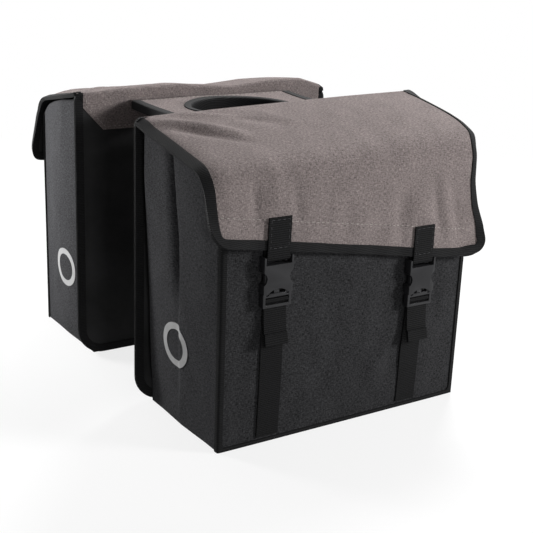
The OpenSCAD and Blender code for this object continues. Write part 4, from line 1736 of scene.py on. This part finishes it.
# %% [markdown]
# ## The left bag
# The left bag is the mirror image of the right one across the wheel. Each piece is copied with its own mesh,
# turned across Y, and its faces are turned round so that they still look outwards. As it is stuffed less, its
# gussets come from the flatter shell, its crest droops, and its lid is drawn in and hangs lower at the aft end.

# %% Easing the left lid
LEFT_END_X = 150 * MM
FRONT_HALF_D = (120 * MM, FRONT_D)
EASED_DROOP = 0.8
EASED_CREASES = 0.85
EASED_SPREAD = 0.9
LEFT_END_PUFF = 4.6 * MM
PUFF_X = (-146 * MM, 38 * MM)
PUFF_S = (40 * MM, 125 * MM)
LEFT_AFT_IN = 15 * MM
AFT_IN_D = (40 * MM, 140 * MM)
AFT_IN_Z = (235 * MM, 310 * MM)
LEFT_HEM_DROP = 13 * MM
HEM_DROP_X = 128 * MM
HEM_DROP_Z = (305 * MM, 55 * MM)


def lid_place(d, z):
    """Distance of a lid's point from the crest along the cloth, and the way the cloth faces there."""
    steep = math.pi / 2 - LID_PITCH
    if d < CREST_D + LID_TOP_L * math.cos(LID_PITCH):
        return max(0.0, d - CREST_D) / math.cos(LID_PITCH), Vector((math.cos(steep), math.sin(steep)))
    angle = min(max(math.atan2(z - LID_FOLD_AT.y, d - LID_FOLD_AT.x), LID_LEAN), steep)
    past = max(0.0, LID_FACE_Z - z) / math.cos(LID_LEAN)
    return LID_TOP_L + (steep - angle) * LID_FOLD_R + past, Vector((math.cos(angle), math.sin(angle)))


def ease_lid(at):
    """Moves a point of the left lid: its folds are smoother, its aft end drawn in and its aft hem lower."""
    s, away = lid_place(at.y - WHEEL_Y, at.z)
    lift = EASED_DROOP * lid_end_droop(min(at.x, 0), s)
    lift += LEFT_END_PUFF * bell(at.x, *PUFF_X) * ramp(s, *PUFF_S)
    lift *= 1 - lid_hang(at.x, s)
    if s < LID_TOP_L:
        lift -= EASED_CREASES * lid_wrinkles(at.x, s)
        at.x -= EASED_SPREAD * lid_side(at.x, s)
    at.y += lift * away.x
    at.z += lift * away.y
    far = ramp(at.y - WHEEL_Y, *AFT_IN_D) * ramp(at.z, *AFT_IN_Z)
    at.x += LEFT_AFT_IN * ramp(-at.x, LEFT_END_X, PANEL_HALF) * far
    top, tall = HEM_DROP_Z
    hanging = ramp(top - at.z, 0, tall) * ramp(at.y - WHEEL_Y, *FRONT_HALF_D)
    at.z -= LEFT_HEM_DROP * ramp(-at.x, HEM_DROP_X, PANEL_HALF) ** 1.3 * hanging


# %% Droop of the left bag
LEFT_DROOP = [(-198, -4), (-181, -2.6), (-165, -1.5), (-150, -2.5), (-100, -3), (-45, -2.2), (-15, 1.6),
              (35, 6.4), (65, 5), (98, 3), (132, 3.3), (150, 3.9), (169, 9), (184, 13), (198, 21)]
DROOP_FROM_Z = 310 * MM
LEFT_DRAWN_IN = 7 * MM
DRAWN_IN_Z = (250 * MM, 330 * MM)
CORNER_IN = 6 * MM
CORNER_H = 70 * MM
CORNER_ABOVE = 20 * MM


def droop(piece):
    """Lowers the left crest, draws in its fore end and pulls in the aft corner of its front."""
    for vertex in piece.data.vertices:
        at = vertex.co
        high = ramp(at.z, DROOP_FROM_Z, CREST_Z)
        if "_lid_" in piece.name:
            ease_lid(at)
        at.z -= along_points(LEFT_DROOP, at.x) * high
        at.x -= LEFT_DRAWN_IN * ramp(at.x, LEFT_END_X, PANEL_HALF) * ramp(at.z, *DRAWN_IN_Z)
        corner = ramp(-at.x, LEFT_END_X, PANEL_HALF) * ramp(at.y - WHEEL_Y, *FRONT_HALF_D)
        at.y -= CORNER_IN * corner * ramp(MOUTH_Z + CORNER_ABOVE - at.z, 0, CORNER_H)


print("left crest: droops by up to", max(drop for _, drop in LEFT_DROOP), "mm")

# %% [markdown]
# Each piece rides on its own body, except the lid's canvas and tape, whose place is only baked into their meshes.
# A lower strap goes slack when its plug is pulled out; here its piece only gets a mesh of its own.

# %% Mirror and ride
BENDING = ("_lid_canvas", "_lid_tape")
DROOPING = BENDING + ("_yoke_cloth", "_yoke_stitches", "_inner_cloth", "_inner_tape", "_hem_stitches")


def to_left(name):
    return name.replace("right_", "left_", 1)


def mirrored(piece):
    pick(FLATTER.get(piece.name, piece))
    bpy.ops.object.duplicate()
    twin = bpy.context.object
    twin.name = twin.data.name = to_left(piece.name)
    twin.data.transform(Matrix.Diagonal((1, -1, 1, 1)))
    twin.data.flip_normals()
    return twin


def bend_at_crest(piece):
    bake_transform(piece)


def settle_on_body(piece, body, nodes):
    if piece.name.endswith(BENDING):
        bend_at_crest(piece)
    else:
        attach(piece, body)
    fasten(nodes)
    for node in nodes:
        if "_lower_strap_" in node:
            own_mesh(piece)


# %% Both bags
TWINS = {}
for piece, body, slot, nodes in PIECES:
    TWINS[piece.name] = mirrored(piece)
    if piece.name.endswith(DROOPING):
        droop(TWINS[piece.name])
    settle_on_body(piece, body, nodes)
    settle_on_body(TWINS[piece.name], to_left(body), [to_left(node) for node in nodes])
for piece in FLATTER.values():
    bpy.data.objects.remove(piece)
print("left bag:", len(TWINS), "mirrored pieces")

# %% Boards inside the bags
for side in ("right", "left"):
    for board in ("inner_board", "base_board"):
        wear(frame["nodes"][f"{side}_{board}"], BOARD)
print("boards inside:", BOARD.name)
